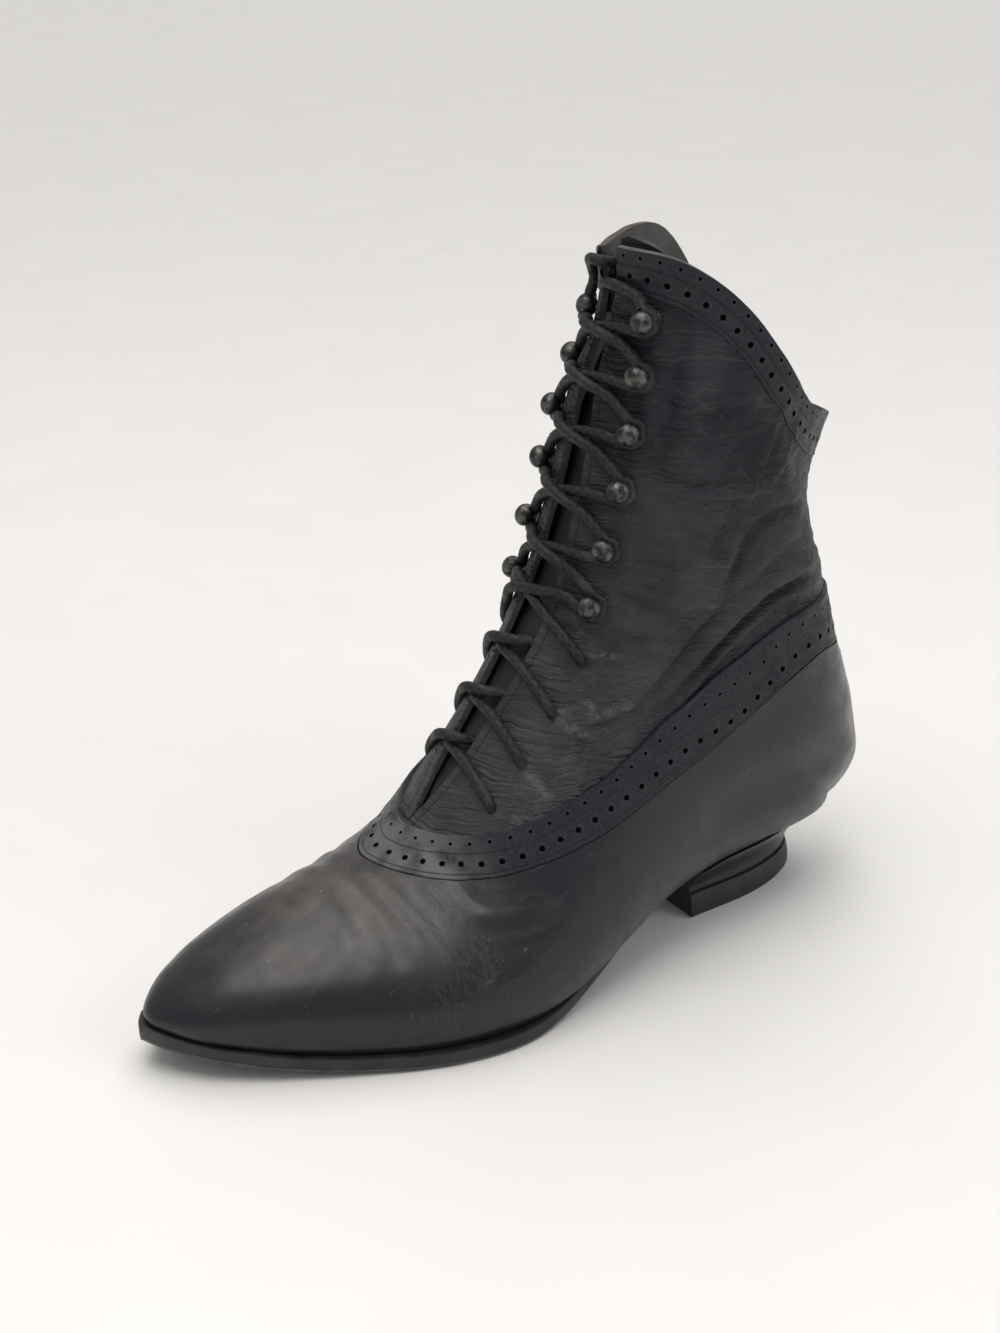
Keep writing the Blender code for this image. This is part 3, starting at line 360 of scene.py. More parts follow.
# Creases, as lines in side view (x, z in mm). side is 1 lateral, -1 medial, 0 both.
# width and height in mm; a trough has a negative height.
creases = [
    # soft edge of the stiffened facing
    (1, 2.7, -1.47, [(38, 206), (40, 192), (42, 178), (44, 166), (48, 149)]),
    (1, 3.1, 0.97, [(31, 200), (34, 184), (37, 166), (41, 150)]),
    # folds of the ankle, at the back
    (1, 1.7, -2.15, [(-3, 140), (7, 140), (14, 137), (21, 128), (27, 117)]),
    (1, 2.7, 1.76, [(0, 133), (8, 130), (15, 124), (20, 117)]),
    (1, 2.2, 1.57, [(13, 164), (20, 142), (26, 128), (30, 119)]),
    (1, 1.5, -0.97, [(8, 168), (16, 148), (22, 134)]),
    (1, 1.9, 0.69, [(7, 175), (16, 160), (24, 146), (34, 130)]),
    (1, 1.4, -0.69, [(14, 178), (24, 160), (32, 140)]),
    (1, 1.5, 0.69, [(-1, 166), (7, 156), (16, 146)]),
    # long folds over the brogued band
    (1, 2.2, 1.96, [(-16, 119), (-4, 120), (8, 118), (19, 113), (30, 105), (40, 97), (50, 89)]),
    (1, 1.3, -1.57, [(-14, 114), (0, 115), (12, 112), (24, 105), (36, 96), (46, 87)]),
    (1, 1.7, 1.47, [(-8, 111), (4, 112), (14, 108), (26, 101), (38, 92), (46, 84)]),
    (1, 1.4, -0.97, [(22, 116), (34, 107), (46, 97), (58, 87)]),
    (1, 1.9, 0.88, [(36, 110), (47, 99), (58, 90), (68, 81)]),
    # cross wrinkles between the hooks and the back
    (1, 1.3, -0.78, [(49, 156), (40, 153), (30, 151), (20, 152)]),
    (1, 1.2, 0.49, [(47, 151), (38, 148), (28, 147)]),
    (1, 1.3, -0.69, [(43, 173), (33, 171), (22, 174)]),
    (1, 1.4, -0.69, [(54, 133), (45, 129), (34, 127)]),
    (1, 1.2, 0.49, [(55, 127), (46, 123), (38, 122)]),
    (1, 1.4, -0.78, [(59, 122), (49, 116), (39, 112)]),
    (1, 1.4, -0.69, [(62, 110), (52, 107), (42, 105)]),
    # cracked creases by the holes
    (1, 0.8, 1.08, [(80, 88), (78, 86), (74, 83)]),
    (1, 1.0, -1.08, [(79, 84.5), (76, 82), (72, 80)]),
    (1, 0.8, 0.97, [(73, 86), (66, 88), (60, 89), (54, 91)]),
    (1, 1.1, -0.97, [(72, 83.5), (64, 85.5), (56, 88)]),
    (1, 0.8, 0.50, [(91, 74), (90, 71), (91, 68)]),
    (1, 1.2, -0.45, [(89, 74), (88, 70), (89, 66)]),
    (1, 0.8, 0.78, [(70, 104.5), (66, 104), (61, 105)]),
    (1, 1.1, -0.88, [(71, 102.5), (65, 101.5), (60, 102.5)]),
    (1, 1.0, -0.30, [(100, 64), (97, 61), (97, 57)]),
    # buckle of the band by the ball, and the break of the vamp
    (1, 1.6, -0.45, [(119, 51), (117, 49), (117, 45), (115, 41)]),
    (1, 2.0, 0.35, [(114, 52), (112.5, 48), (112, 43), (110, 40)]),
    (1, 1.6, 0.28, [(118, 39), (110, 38.5), (102, 38.5), (92, 39)]),
    (1, 1.8, -0.23, [(120, 36), (110, 36), (100, 36.5)]),
    (0, 2.6, -0.23, [(141, 44), (140, 40), (140, 36), (142, 28)]),
    (0, 2.6, 0.20, [(146, 42), (145, 38), (146, 30)]),
    (0, 2.0, -0.23, [(135, 45), (132, 40), (130, 36), (130, 28)]),
    (0, 2.2, 0.20, [(137, 44), (135, 38), (135, 30)]),
    (1, 1.6, -0.17, [(128, 44), (125, 39), (122, 33)]),
    (0, 2.0, -0.12, [(151, 40), (151, 34), (154, 26)]),
    # foxing
    (1, 7.0, -0.80, [(-30, 54), (-14, 52), (4, 51), (22, 50), (40, 45)]),
    (1, 0.8, -0.25, [(72, 52), (74, 44), (76, 34)]),
    (1, 0.8, -0.20, [(76, 50), (78, 42), (81, 33)]),
    # inner side
    (-1, 2.0, -1.76, [(-4, 138), (6, 138), (14, 133), (22, 124)]),
    (-1, 2.2, 1.57, [(-12, 121), (2, 121), (14, 116), (28, 106), (42, 95)]),
    (-1, 1.5, -1.17, [(-10, 115), (6, 115), (18, 109), (32, 99), (44, 88)]),
    (-1, 2.2, 1.17, [(12, 162), (18, 144), (24, 128)]),
    (-1, 1.7, -0.78, [(46, 152), (34, 149), (22, 150)]),
    (-1, 1.7, -0.78, [(50, 172), (36, 170), (24, 172)]),
    (-1, 1.7, -0.88, [(60, 120), (50, 115), (40, 111)]),
    (-1, 2.9, -1.17, [(42, 204), (44, 186), (47, 168), (51, 150)]),
    (-1, 1.8, -0.30, [(118, 50), (115, 44), (112, 39)]),
    (-1, 7.0, -0.70, [(-26, 54), (0, 52), (26, 50), (44, 46)]),
]


def roundOff(points, per=5):
    # a smooth line through points
    p = np.asarray(points, float)
    p = np.concatenate([[2 * p[0] - p[1]], p, [2 * p[-1] - p[-2]]])
    t = np.linspace(0, 1, per, endpoint=False)[:, None]
    out = []
    for a, b, c, d in zip(p[:-3], p[1:-2], p[2:-1], p[3:]):
        out.append(0.5 * (2 * b + (c - a) * t + (2 * a - 5 * b + 4 * c - d) * t ** 2
                          + (3 * b - a - 3 * c + d) * t ** 3))
    return np.concatenate(out + [p[-2:-1]])


def nearestOn(spots, path, leftOut=-1):
    # how far every spot is from a line, and how far along the line its nearest point lies
    run = runAlong(path)
    best = np.full(len(spots), np.inf)
    along = np.zeros(len(spots))
    for k, (a, b, size) in enumerate(zip(path[:-1], path[1:], np.diff(run))):
        if k == leftOut or size < 1e-7:
            continue
        t = np.clip((spots - a) @ (b - a) / size ** 2, 0, 1)
        off = np.linalg.norm(spots - a - t[:, None] * (b - a), axis=1)
        closer = off < best
        best = np.where(closer, off, best)
        along = np.where(closer, run[k] + t * size, along)
    return best, along, run


creaseForm = {
    "reach": 4,             # widths
    "overMiddle": 3,        # mm that a crease of one side reaches past the middle
    "ends": 0.28,           # share of its length over which an end fades
    "least": 0.15,
    "bank": 0.30,           # the rise beside a trough, its place and its width
    "bankAt": 1.9,
    "bankWide": 0.8,
}


def creaseLift(spots):
    # how far the leather stands off the last, in metres
    flat = spots.reshape(-1, 3) * 1000
    total = np.zeros(len(flat))
    x, y, z = flat.T
    form = creaseForm
    for side, width, height, line in creases:
        path = roundOff(line)
        reach = form["reach"] * width
        lo, hi = path.min(0) - reach, path.max(0) + reach
        near = (x > lo[0]) & (x < hi[0]) & (z > lo[1]) & (z < hi[1])
        if side:
            near &= y * side > -form["overMiddle"]
        here = np.nonzero(near)[0]
        if not len(here):
            continue
        off, along, run = nearestOn(np.stack([x[here], z[here]], -1), path)
        s, place = off / width, along / run[-1]
        fade = np.sin(np.clip(np.minimum(place, 1 - place) / form["ends"], 0, 1) * math.pi / 2)
        fade = form["least"] + (1 - form["least"]) * fade
        shape = np.exp(-s * s) - form["bank"] * np.exp(-((s - form["bankAt"]) / form["bankWide"]) ** 2)
        weight = ramp(y[here] * side, -form["overMiddle"], form["overMiddle"]) if side else 1.0
        total[here] += height * shape * fade * weight
    # slack and fine cross wrinkles of the worn shaft, in mm, none on the stiff foot
    soft = np.clip((z - 66 - 0.32 * x) / 16, 0, 1)
    slack = 0.22 * np.sin(x * 0.19 + z * 0.11 + 1) * np.sin(z * 0.23 - y * 0.07)
    slack += 0.09 * np.sin(x * 0.47 - z * 0.31 + y * 0.2) * np.sin(z * 0.51 + x * 0.13 + 2)
    wave = z * 1.15 + 1.9 * np.sin(x * 0.13 + z * 0.045) + 1.3 * np.sin(z * 0.29 - x * 0.06 + y * 0.05)
    patch = 0.55 + 0.45 * np.sin(x * 0.16 + 0.8) * np.sin(z * 0.083 + x * 0.03 + 1.2)
    slack += 0.17 * patch * (1 - 1.6 * np.abs(np.sin(wave * 0.5)) ** 0.7)
    slack += 0.08 * patch * np.sin(z * 2.3 + 2.4 * np.sin(x * 0.17 - z * 0.08) + 0.7)
    return ((total + soft * slack) / 1000).reshape(spots.shape[:-1])


def weldedNormals(spots):
    # normals of a grid whose edges may meet each other
    cells = np.round(spots.reshape(-1, 3) / weld).astype(np.int64)
    _, ids = np.unique(cells, axis=0, return_inverse=True)
    ids = ids.reshape(spots.shape[:2])
    across = np.cross(spots[1:, 1:] - spots[:-1, :-1], spots[:-1, 1:] - spots[1:, :-1])
    across[:, half - 1] = 0
    total = np.zeros((ids.max() + 1, 3))
    for corner in (ids[:-1, :-1], ids[1:, :-1], ids[1:, 1:], ids[:-1, 1:]):
        np.add.at(total, corner.ravel(), across.reshape(-1, 3))
    total /= np.maximum(np.linalg.norm(total, axis=1, keepdims=True), 1e-12)
    return total[ids]


# steps round one side, from the feather line to the facing's edge, finer at both ends
steps = np.concatenate([[0, 0.004, 0.010, 0.018, 0.028], np.linspace(0.04, 0.965, 96),
                        [0.978, 0.986, 0.9915, 0.995, 0.9975, 1.0]])
half = len(steps)


def grid(ringsOf):
    # points of the last over both sides, lateral feather line to throat and medial back down
    rings = np.stack([ringsOf(float(step), side) for side in (1, -1) for step in steps[::side]], 1)
    spots = np.concatenate([skinPoint(rings[:, :half], steps[None], 1),
                            skinPoint(rings[:, half:], steps[None, ::-1], -1)], 1)
    normals = weldedNormals(spots)
    if np.mean(spots[..., 1] * normals[..., 1]) < 0:
        normals = -normals
    return spots, normals, rings


def lengthsAlong(spots, axis):
    size = np.linalg.norm(np.diff(spots, axis=axis), axis=-1)
    pad = [(0, 0), (0, 0)]
    pad[axis] = (1, 0)
    return np.pad(np.cumsum(size, axis=axis), pad)


def meshFrom(name, points, faces, materials, sharp, slots=None, maps=None, turnOut=False):
    # an object from points, faces and named UV maps given per point
    data = bpy.data.meshes.new(name)
    data.from_pydata(points.reshape(-1, 3).tolist(), [], faces)
    index = np.empty(len(data.loops), dtype=np.int32)
    data.loops.foreach_get("vertex_index", index)
    for key, values in (maps or {}).items():
        data.uv_layers.new(name=key).data.foreach_set("uv", values.reshape(-1, 2)[index].ravel())
    for stuff in materials:
        data.materials.append(stuff)
    if slots:
        data.polygons.foreach_set("material_index", slots)
    mesh = bmesh.new()
    mesh.from_mesh(data)
    bmesh.ops.remove_doubles(mesh, verts=mesh.verts, dist=weld)
    bmesh.ops.dissolve_degenerate(mesh, edges=mesh.edges, dist=weld / 2)
    if turnOut:
        bmesh.ops.recalc_face_normals(mesh, faces=mesh.faces)
    mesh.to_mesh(data)
    mesh.free()
    data.shade_smooth()
    data.set_sharp_from_angle(angle=math.radians(sharp))
    made = newObject(name, data)
    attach(made, "root")
    return made


def gridFaces(rows, columns, seam=-1, base=0, flip=False):
    r, c = np.meshgrid(np.arange(rows - 1), np.arange(columns - 1), indexing="ij")
    a = (r * columns + c + base)[c != seam]
    quads = np.stack([a, a + columns, a + columns + 1, a + 1], -1)
    return (quads[:, ::-1] if flip else quads).tolist()


# Shader sums read like plain ones: a Wire is a socket that adds, multiplies and so on.
class Wire:
    def __init__(self, look, socket):
        self.look, self.socket = look, socket

    def sum(self, kind, *others):
        return self.look.sum(kind, self, *others)

    def __add__(self, other):
        return self.sum("ADD", other)

    def __sub__(self, other):
        return self.sum("SUBTRACT", other)

    def __rsub__(self, other):
        return self.look.sum("SUBTRACT", other, self)

    def __mul__(self, other):
        return self.sum("MULTIPLY", other)

    def __truediv__(self, other):
        return self.sum("DIVIDE", other)

    def __abs__(self):
        return self.sum("ABSOLUTE")

    def smooth(self, low, high, start=0.0, end=1.0):
        # start at low and end at high, eased between them
        return self.look.wire("MapRange", "Result", {"interpolation_type": "SMOOTHSTEP"}, {
            "Value": self, "From Min": low, "From Max": high, "To Min": start, "To Max": end})


class Look:
    def __init__(self, name, **settings):
        self.material = bpy.data.materials.new(name)
        self.material.use_nodes = True
        self.tree = self.material.node_tree
        self.shader = self.tree.nodes["Principled BSDF"]
        for key, value in settings.items():
            self.shader.inputs[key.replace("_", " ")].default_value = value

    def plug(self, value, socket):
        if isinstance(value, Wire):
            self.tree.links.new(value.socket, socket)
        else:
            socket.default_value = value

    def node(self, kind, settings=None, values=None):
        made = self.tree.nodes.new("ShaderNode" + kind)
        for key, value in (settings or {}).items():
            setattr(made, key, value)
        for key, value in (values or {}).items():
            self.plug(value, made.inputs[key])
        return made

    def wire(self, kind, output, settings=None, values=None):
        return Wire(self, self.node(kind, settings, values).outputs[output])

    def sum(self, kind, *values):
        return self.wire("Math", 0, {"operation": kind}, dict(enumerate(values)))

    def stretch(self, spot, *factors):
        return self.wire("VectorMath", 0, {"operation": "MULTIPLY"}, {0: spot, 1: factors})

    def place(self):
        return self.wire("TexCoord", "Object")

    def apart(self, wire):
        return [Wire(self, s) for s in self.node("SeparateXYZ", None, {"Vector": wire}).outputs]

    def together(self, x, y):
        return self.wire("CombineXYZ", 0, None, {"X": x, "Y": y})

    def map(self, name):
        return self.apart(self.wire("UVMap", 0, {"uv_map": name}))[:2]

    def noise(self, spot, scale, detail=2.0, rough=0.5, warp=0.0):
        return self.wire("TexNoise", "Fac", None, {
            "Vector": spot, "Scale": scale, "Detail": detail, "Roughness": rough, "Distortion": warp})

    def cells(self, spot, scale, feature="F1"):
        return self.wire("TexVoronoi", "Distance", {"feature": feature}, {"Vector": spot, "Scale": scale})

    def mix(self, factor, a, b):
        a, b = (c if isinstance(c, Wire) else (*c, 1) for c in (a, b))
        return self.wire("Mix", 2, {"data_type": "RGBA"}, {0: factor, 6: a, 7: b})

    def finish(self, colour, roughness, height, coat=None, pits=None):
        # height is in mm; pits are holes that no light comes back from
        self.plug(colour, self.shader.inputs["Base Color"])
        self.plug(roughness, self.shader.inputs["Roughness"])
        if coat is not None:
            self.plug(coat, self.shader.inputs["Coat Weight"])
        bump = self.wire("Bump", 0, None, {"Strength": 1.0, "Distance": 0.001, "Height": height})
        self.plug(bump, self.shader.inputs["Normal"])
        if pits is not None:
            # painted shade: the holes get a black shader with no reflection
            dark = self.wire("BsdfPrincipled", 0, None, {
                "Base Color": (0.001, 0.001, 0.001, 1), "Roughness": 1.0, "Specular IOR Level": 0.0})
            bright = Wire(self, self.shader.outputs[0])
            both = self.wire("MixShader", 0, None, {0: pits, 1: bright, 2: dark})
            self.plug(both, self.tree.nodes["Material Output"].inputs["Surface"])
        return self.material


leather = {
    "quarter": (0.0064, 0.0078, 0.0126),
    "quarterLight": (0.0180, 0.0198, 0.0262),
    "vamp": (0.0066, 0.0078, 0.0120),
    "vampSheenAndWear": (0.080, 0.068, 0.060),
    "dustAndHighlight": (0.088, 0.088, 0.094),
    "paleTone": (0.150, 0.144, 0.140),
    "hole": (0.0015, 0.0015, 0.0015),
    "speck": (0.22, 0.21, 0.20),
    "raw": (0.085, 0.070, 0.058),
    "rawDark": (0.045, 0.038, 0.034),
    "lining": (0.060, 0.057, 0.056),
    "liningLight": (0.080, 0.074, 0.070),
    "grain": 0.045,         # mm
    "smallHole": 0.50,      # radius in mm
    "bigHole": 0.86,
    "holePitch": 6.0,
}


# pale scuffs of the shaft, in side view: x, z, half length, half width in mm, and slope in degrees
scuffs = [
    (76, 84, 6.0, 2.0, 32), (64, 88, 9.0, 1.6, -12), (89, 70, 4.5, 1.6, 60), (63, 104, 5.5, 1.5, 6),
    (97, 60, 3.5, 1.4, 70), (71, 90, 3.0, 2.4, 20),
]


def scuffShade(look, x, z):
    total = None
    for cx, cz, long, wide, slope in scuffs:
        c, n = math.cos(math.radians(slope)), math.sin(math.radians(slope))
        dx, dz = x * 1000.0 - cx, z * 1000.0 - cz
        a, b = (dx * c + dz * n) / long, (dz * c - dx * n) / wide
        one = (a * a + b * b).smooth(1.2, 0.1)
        total = one if total is None else total.sum("MAXIMUM", one)
    return total


def rowOfHoles(look, name, radius, pitch, shift=0.0):
    # 1 inside the holes of a row
    u, off = look.map(name)
    along = ((u / pitch + shift).sum("FRACT") - 0.5) * pitch
    away = (along * along + off * off).sum("SQRT")
    return away.smooth(radius + 0.10, radius - 0.12), away


def seamGroove(look, name, width=0.32, pitch=2.2):
    # a sewn line: thread ends sit in a shallow groove
    u, off = look.map(name)
    line = abs(off).smooth(width, width * 0.25)
    stitch = abs((u / pitch).sum("FRACT") - 0.5).smooth(0.34, 0.44)
    return line, line * stitch


def grainHeight(look, spot, amount):
    pebble = look.cells(spot, 1500.0, "SMOOTH_F1")
    fine = look.noise(spot, 2600.0, 3.0, 0.6)
    return (pebble * 1.2 + fine * 0.8) * amount


def quarterLook():
    look = Look("quarterLeather", Roughness=0.5, Specular_IOR_Level=0.26)
    spot = look.place()
    x, y, z = look.apart(spot)
    u, v = x * 1000.0 + y * 500.0, z * 1000.0
    low = look.noise(spot, 38.0, 3.0, 0.6)
    # wrinkles run level, back from the hooks
    bent = v + (look.noise(spot, 60.0, 2.0) - 0.5) * 8.0
    slid = u + (look.noise(spot, 45.0, 2.0, 0.5) - 0.5) * 14.0
    lines = look.noise(look.together(u * 0.045, bent * 0.62), 1.0, 4.0, 0.62, 0.6)
    fineLines = look.noise(look.together(u * 0.11, bent * 1.5), 1.0, 3.0, 0.6, 0.4)
    amount = look.noise(spot, 26.0, 1.0).smooth(0.30, 0.65, 0.45, 1.0)
    wrinkle = (lines * 0.85 + fineLines * 0.40) * amount

    def pillowed(across, level, wide):
        # between the wrinkles the leather stands up in small flat pillows
        return look.cells(look.together(across, level), 1.0, "DISTANCE_TO_EDGE").smooth(0.0, wide)

    pillows = pillowed(slid * 0.10, bent * 0.30, 0.16) * look.noise(spot, 30.0, 2.0).smooth(0.32, 0.60)
    pebbles = pillowed(slid * 0.26, bent * 0.62 + 7.0, 0.20)
    edges = (1.0 - pillows) * look.noise(spot, 55.0, 3.0).smooth(0.46, 0.62)
    nick = look.cells(look.together(u * 0.35, v * 0.9), 1.0, "DISTANCE_TO_EDGE").smooth(0.05, 0.0)
    nick = nick * look.noise(spot, 130.0, 2.0).smooth(0.52, 0.66)
    line, thread = seamGroove(look, "topStitch", 0.34)
    height = grainHeight(look, spot, leather["grain"]) + wrinkle * 1.10 + pillows * 0.34
    height = height + pebbles * 0.15 - nick * 0.10 - line * 0.25 + thread * 0.22
    rubbed = x.smooth(0.045, 0.075) * look.noise(spot, 95.0, 4.0, 0.65).smooth(0.50, 0.66)
    # the lower, rear part of the shaft is greyer
    greyerBelow = z.smooth(0.185, 0.115) * low.smooth(0.25, 0.7, 0.5, 1.0)
    paleTone = scuffShade(look, x, z) * y.smooth(-0.002, 0.006)
    paleTone = paleTone * look.noise(spot, 330.0, 4.0, 0.7).smooth(0.36, 0.62)
    colour = look.mix(low.smooth(0.35, 0.7), leather["quarter"], leather["quarterLight"])
    # the wrinkle lines and the pillows' edges are mixed paler: painted highlights on the folds
    for factor, key in (
        (lines.smooth(0.56, 0.72) * amount * 0.30, "dustAndHighlight"),
        (fineLines.smooth(0.58, 0.72) * amount * 0.24, "dustAndHighlight"),
        (edges * 0.16, "dustAndHighlight"),
        (rubbed * 0.30, "dustAndHighlight"),
        (greyerBelow * 0.24, "dustAndHighlight"),
        (paleTone * 0.50, "paleTone"),
        (nick * 0.35, "dustAndHighlight"),
        # the seam's groove is painted dark: painted shade
        (line * 0.5, "hole"),
    ):
        colour = look.mix(factor, colour, leather[key])
    return look.finish(colour, look.noise(spot, 210.0, 3.0).smooth(0.3, 0.7, 0.44, 0.60), height)


def vampLook():
    look = Look("vampLeather", Roughness=0.3, Specular_IOR_Level=0.34, Coat_Roughness=0.2)
    spot = look.place()
    x, y, z = look.apart(spot)
    broad = look.noise(spot, 30.0, 3.0, 0.6)
    # the top of the toe is painted a brownish grey: wear, and a painted sheen
    blotch = look.noise(spot, 62.0, 4.0, 0.62).smooth(0.36, 0.64, 0.40, 1.0)
    worn = z.smooth(0.018, 0.044) * x.smooth(0.095, 0.150) * broad.smooth(0.25, 0.70, 0.55, 1.0) * blotch
    scratch = look.noise(look.stretch(spot, 90.0, 900.0, 500.0), 1.0, 3.0, 0.65)
    scratch = scratch.smooth(0.60, 0.74) * look.noise(spot, 75.0, 2.0).smooth(0.42, 0.66)
    spots = look.cells(spot, 260.0).smooth(0.16, 0.07) * look.noise(spot, 90.0).smooth(0.60, 0.70)
    fine = look.noise(spot, 1400.0, 3.0, 0.6)
    ripple = look.noise(look.stretch(spot, 620.0, 210.0, 260.0), 1.0, 4.0, 0.6, 0.8)
    crinkle = abs(look.noise(look.stretch(spot, 330.0, 110.0, 150.0), 1.0, 3.0, 0.6, 0.7) - 0.5)
    flex = x.smooth(0.106, 0.122) * x.smooth(0.150, 0.130)
    crinkle = crinkle.smooth(0.05, 0.0) * flex * look.noise(spot, 85.0).smooth(0.40, 0.58)
    height = (fine * 0.010 + broad * 0.20 - scratch * 0.012
              + ripple * flex * 0.12 + crinkle * 0.05 + look.noise(spot, 320.0, 2.0) * 0.030)
    # rubbed grey streaks behind the bend
    streak = look.noise(look.stretch(spot, 60.0, 60.0, 190.0), 1.0, 5.0, 0.7).smooth(0.44, 0.72)
    streak = x.smooth(0.085, 0.105) * x.smooth(0.140, 0.118) * z.smooth(0.018, 0.034) * streak
    colour = look.mix(worn, leather["vamp"], leather["vampSheenAndWear"])
    colour = look.mix(scratch * 0.35, colour, leather["dustAndHighlight"])
    # the crinkle ridges are painted paler: painted highlight
    colour = look.mix(crinkle * 0.10, colour, leather["paleTone"])
    colour = look.mix(streak * 0.12, colour, leather["paleTone"])
    colour = look.mix(spots * 0.6, colour, leather["speck"])
    rough = look.noise(spot, 160.0, 3.0).smooth(0.3, 0.7, 0.27, 0.42) + worn * 0.10
    return look.finish(colour, rough, height, 0.18)


def bandLook(name, dusty):
    look = Look(name, Roughness=0.5, Specular_IOR_Level=0.30)
    spot = look.place()
    x, _, _ = look.apart(spot)
    fine = look.noise(spot, 900.0, 4.0, 0.65)
    holes, around = rowOfHoles(look, "rowSmall", leather["smallHole"], leather["holePitch"])
    bigHoles, aroundBig = rowOfHoles(look, "rowBig", leather["bigHole"], leather["holePitch"], 0.5)
    rim = around.smooth(1.3, 0.8) + aroundBig.smooth(1.9, 1.2)
    pits = holes.sum("MAXIMUM", bigHoles)
    height = grainHeight(look, spot, leather["grain"] * 0.8) + fine * 0.05 - pits * 0.75 + rim * 0.05
    colour = look.mix(fine.smooth(0.35, 0.7), leather["quarter"], leather["quarterLight"])
    if dusty:
        # rubbed pale where the boot bends
        rub = x.smooth(0.104, 0.122) * x.smooth(0.152, 0.132)
        rub = rub * look.noise(spot, 120.0, 3.0).smooth(0.25, 0.6)
        colour = look.mix(rub * 0.70, colour, leather["paleTone"])
    for line in ("seamMid", "seamLow"):
        groove, thread = seamGroove(look, line)
        height = height - groove * 0.22 + thread * 0.20
        # the seams' grooves are painted dark: painted shade
        colour = look.mix(groove * 0.6, colour, leather["hole"])
    # the rims of the holes are mixed paler: painted highlight
    colour = look.mix(rim.sum("MINIMUM", 1.0) * 0.07, colour, leather["dustAndHighlight"])
    rough = look.noise(spot, 240.0, 3.0).smooth(0.3, 0.7, 0.42, 0.60)
    return look.finish(colour, rough, height, pits=pits)


def plainLook(name, colourA, colourB, scale, rough, bump, fineScale=1200.0, **settings):
    look = Look(name, **settings)
    spot = look.place()
    blend = look.noise(spot, scale, 3.0, 0.6)
    fine = look.noise(spot, fineScale, 3.0, 0.6)
    colour = look.mix(blend.smooth(0.3, 0.7), colourA, colourB)
    roughness = look.noise(spot, scale * 4, 3.0).smooth(0.3, 0.7, *rough)
    return look.finish(colour, roughness, fine * bump)


quarterLeather = quarterLook()
vampLeather = vampLook()
bandLeather = bandLook("bandLeather", True)
collarLeather = bandLook("collarLeather", False)
liningCloth = plainLook("lining", leather["lining"], leather["liningLight"], 60.0, (0.7, 0.9), 0.06)
rawEdge = plainLook("rawEdge", leather["raw"], leather["rawDark"], 300.0, (0.6, 0.8), 0.08)
print("leather looks made")

# lengths in metres, counts of rings, and shares of a strip's width
strip = {
    "edgeInset": np.array([0.0, 0.00005, 0.00018, 0.00042]),
    "edgeShare": np.array([0.0, 0.62, 0.88, 1.0]),
    "apart": 0.0003,
    "lap": 0.0006,
    "edge": 0.0008,
    "least": 0.00002,
    "foxingRings": 120,
    "bandRings": 22,
    "collarRings": 24,
    "underRings": 26,
    "besideBand": 6,
    "shaftRings": 150,
    "collarDepth": 0.0135,
    "collarNarrows": 0.001,
    "curl": 0.0009,         # the upper turns in by this where it meets the sole
    "curlReach": 0.0016,
    "facingRound": 0.0005,
    "openGap": 0.004,
    "stitchIn": 3.2,        # mm
    "liningFollows": 0.6,   # share of the creases that the lining shows
}


def landmarks(step, side):
    # the rings of the band's two edges and of the collar strip's lower edge
    if (step, side) not in landmarkCache:
        depth = strip["collarDepth"] - strip["collarNarrows"] * step
        landmarkCache[step, side] = (ringOnLine("low", step, side), ringOnLine("top", step, side),
                                     ringBelowCollar(depth, step, side))
    return landmarkCache[step, side]


landmarkCache = {}
ridgeLow = landmarks(1.0, 1)[0]


def foxingRings(step, side):
    low = landmarks(step, side)[0]
    per = ringsPerMetre(low, step, side)
    q = np.linspace(0, 1, strip["foxingRings"])
    q = 0.55 * np.sin(q * math.pi / 2) + 0.45 * q
    body = (ridgeLow * q + (low - ridgeLow) * q ** 2) * (low - strip["lap"] * per) / low
    return np.concatenate([body, low - strip["edgeInset"][:3][::-1] * per])


def stripRings(low, top, per, count):
    inset, edge = strip["edgeInset"] * per, strip["edge"] * per
    return np.concatenate([low + inset, np.linspace(low + edge, top - edge, count), top - inset[::-1]])


def bandRings(step, side):
    low, top, _ = landmarks(step, side)
    per = ringsPerMetre(low, step, side)
    return stripRings(low + strip["apart"] * per, top, per, strip["bandRings"])


def collarRings(step, side):
    low = landmarks(step, side)[2]
    return stripRings(low, boot["lastRing"], ringsPerMetre(low, step, side), strip["collarRings"])


def upperRings(step, side):
    low, top, _ = landmarks(step, side)
    q = np.linspace(0, 1, strip["underRings"])
    end = boot["lastRing"]
    per = ringsPerMetre(end - 0.1, step, side)
    return np.concatenate([ridgeLow * q + (low - ridgeLow) * q ** 2,
                           np.linspace(low, top, strip["besideBand"])[1:],
                           np.linspace(top, end - strip["edge"] * per, strip["shaftRings"])[1:],
                           end - strip["edgeInset"][::-1] * per])


def featherCurl(spots):
    height = spots[..., 2] - soleTop(np.clip(shareAt(spots[..., 0]), 0, 1))
    return -strip["curl"] * np.exp(-np.clip(height, 0, 1) / strip["curlReach"])


def edgeDrop(spots, rings):
    # rounding of the facing's edge
    size = strip["facingRound"]
    drop = np.zeros(spots.shape[:2])
    for part, edge in ((slice(0, half), half - 1), (slice(half, None), half)):
        away = np.linalg.norm(spots[:, part] - spots[:, edge:edge + 1], axis=-1)
        k = np.clip(1 - away / size, 0, 1)
        drop[:, part] = size * (1 - np.sqrt(1 - k * k))
    return drop * (ringValue("gap", rings) > strip["openGap"])


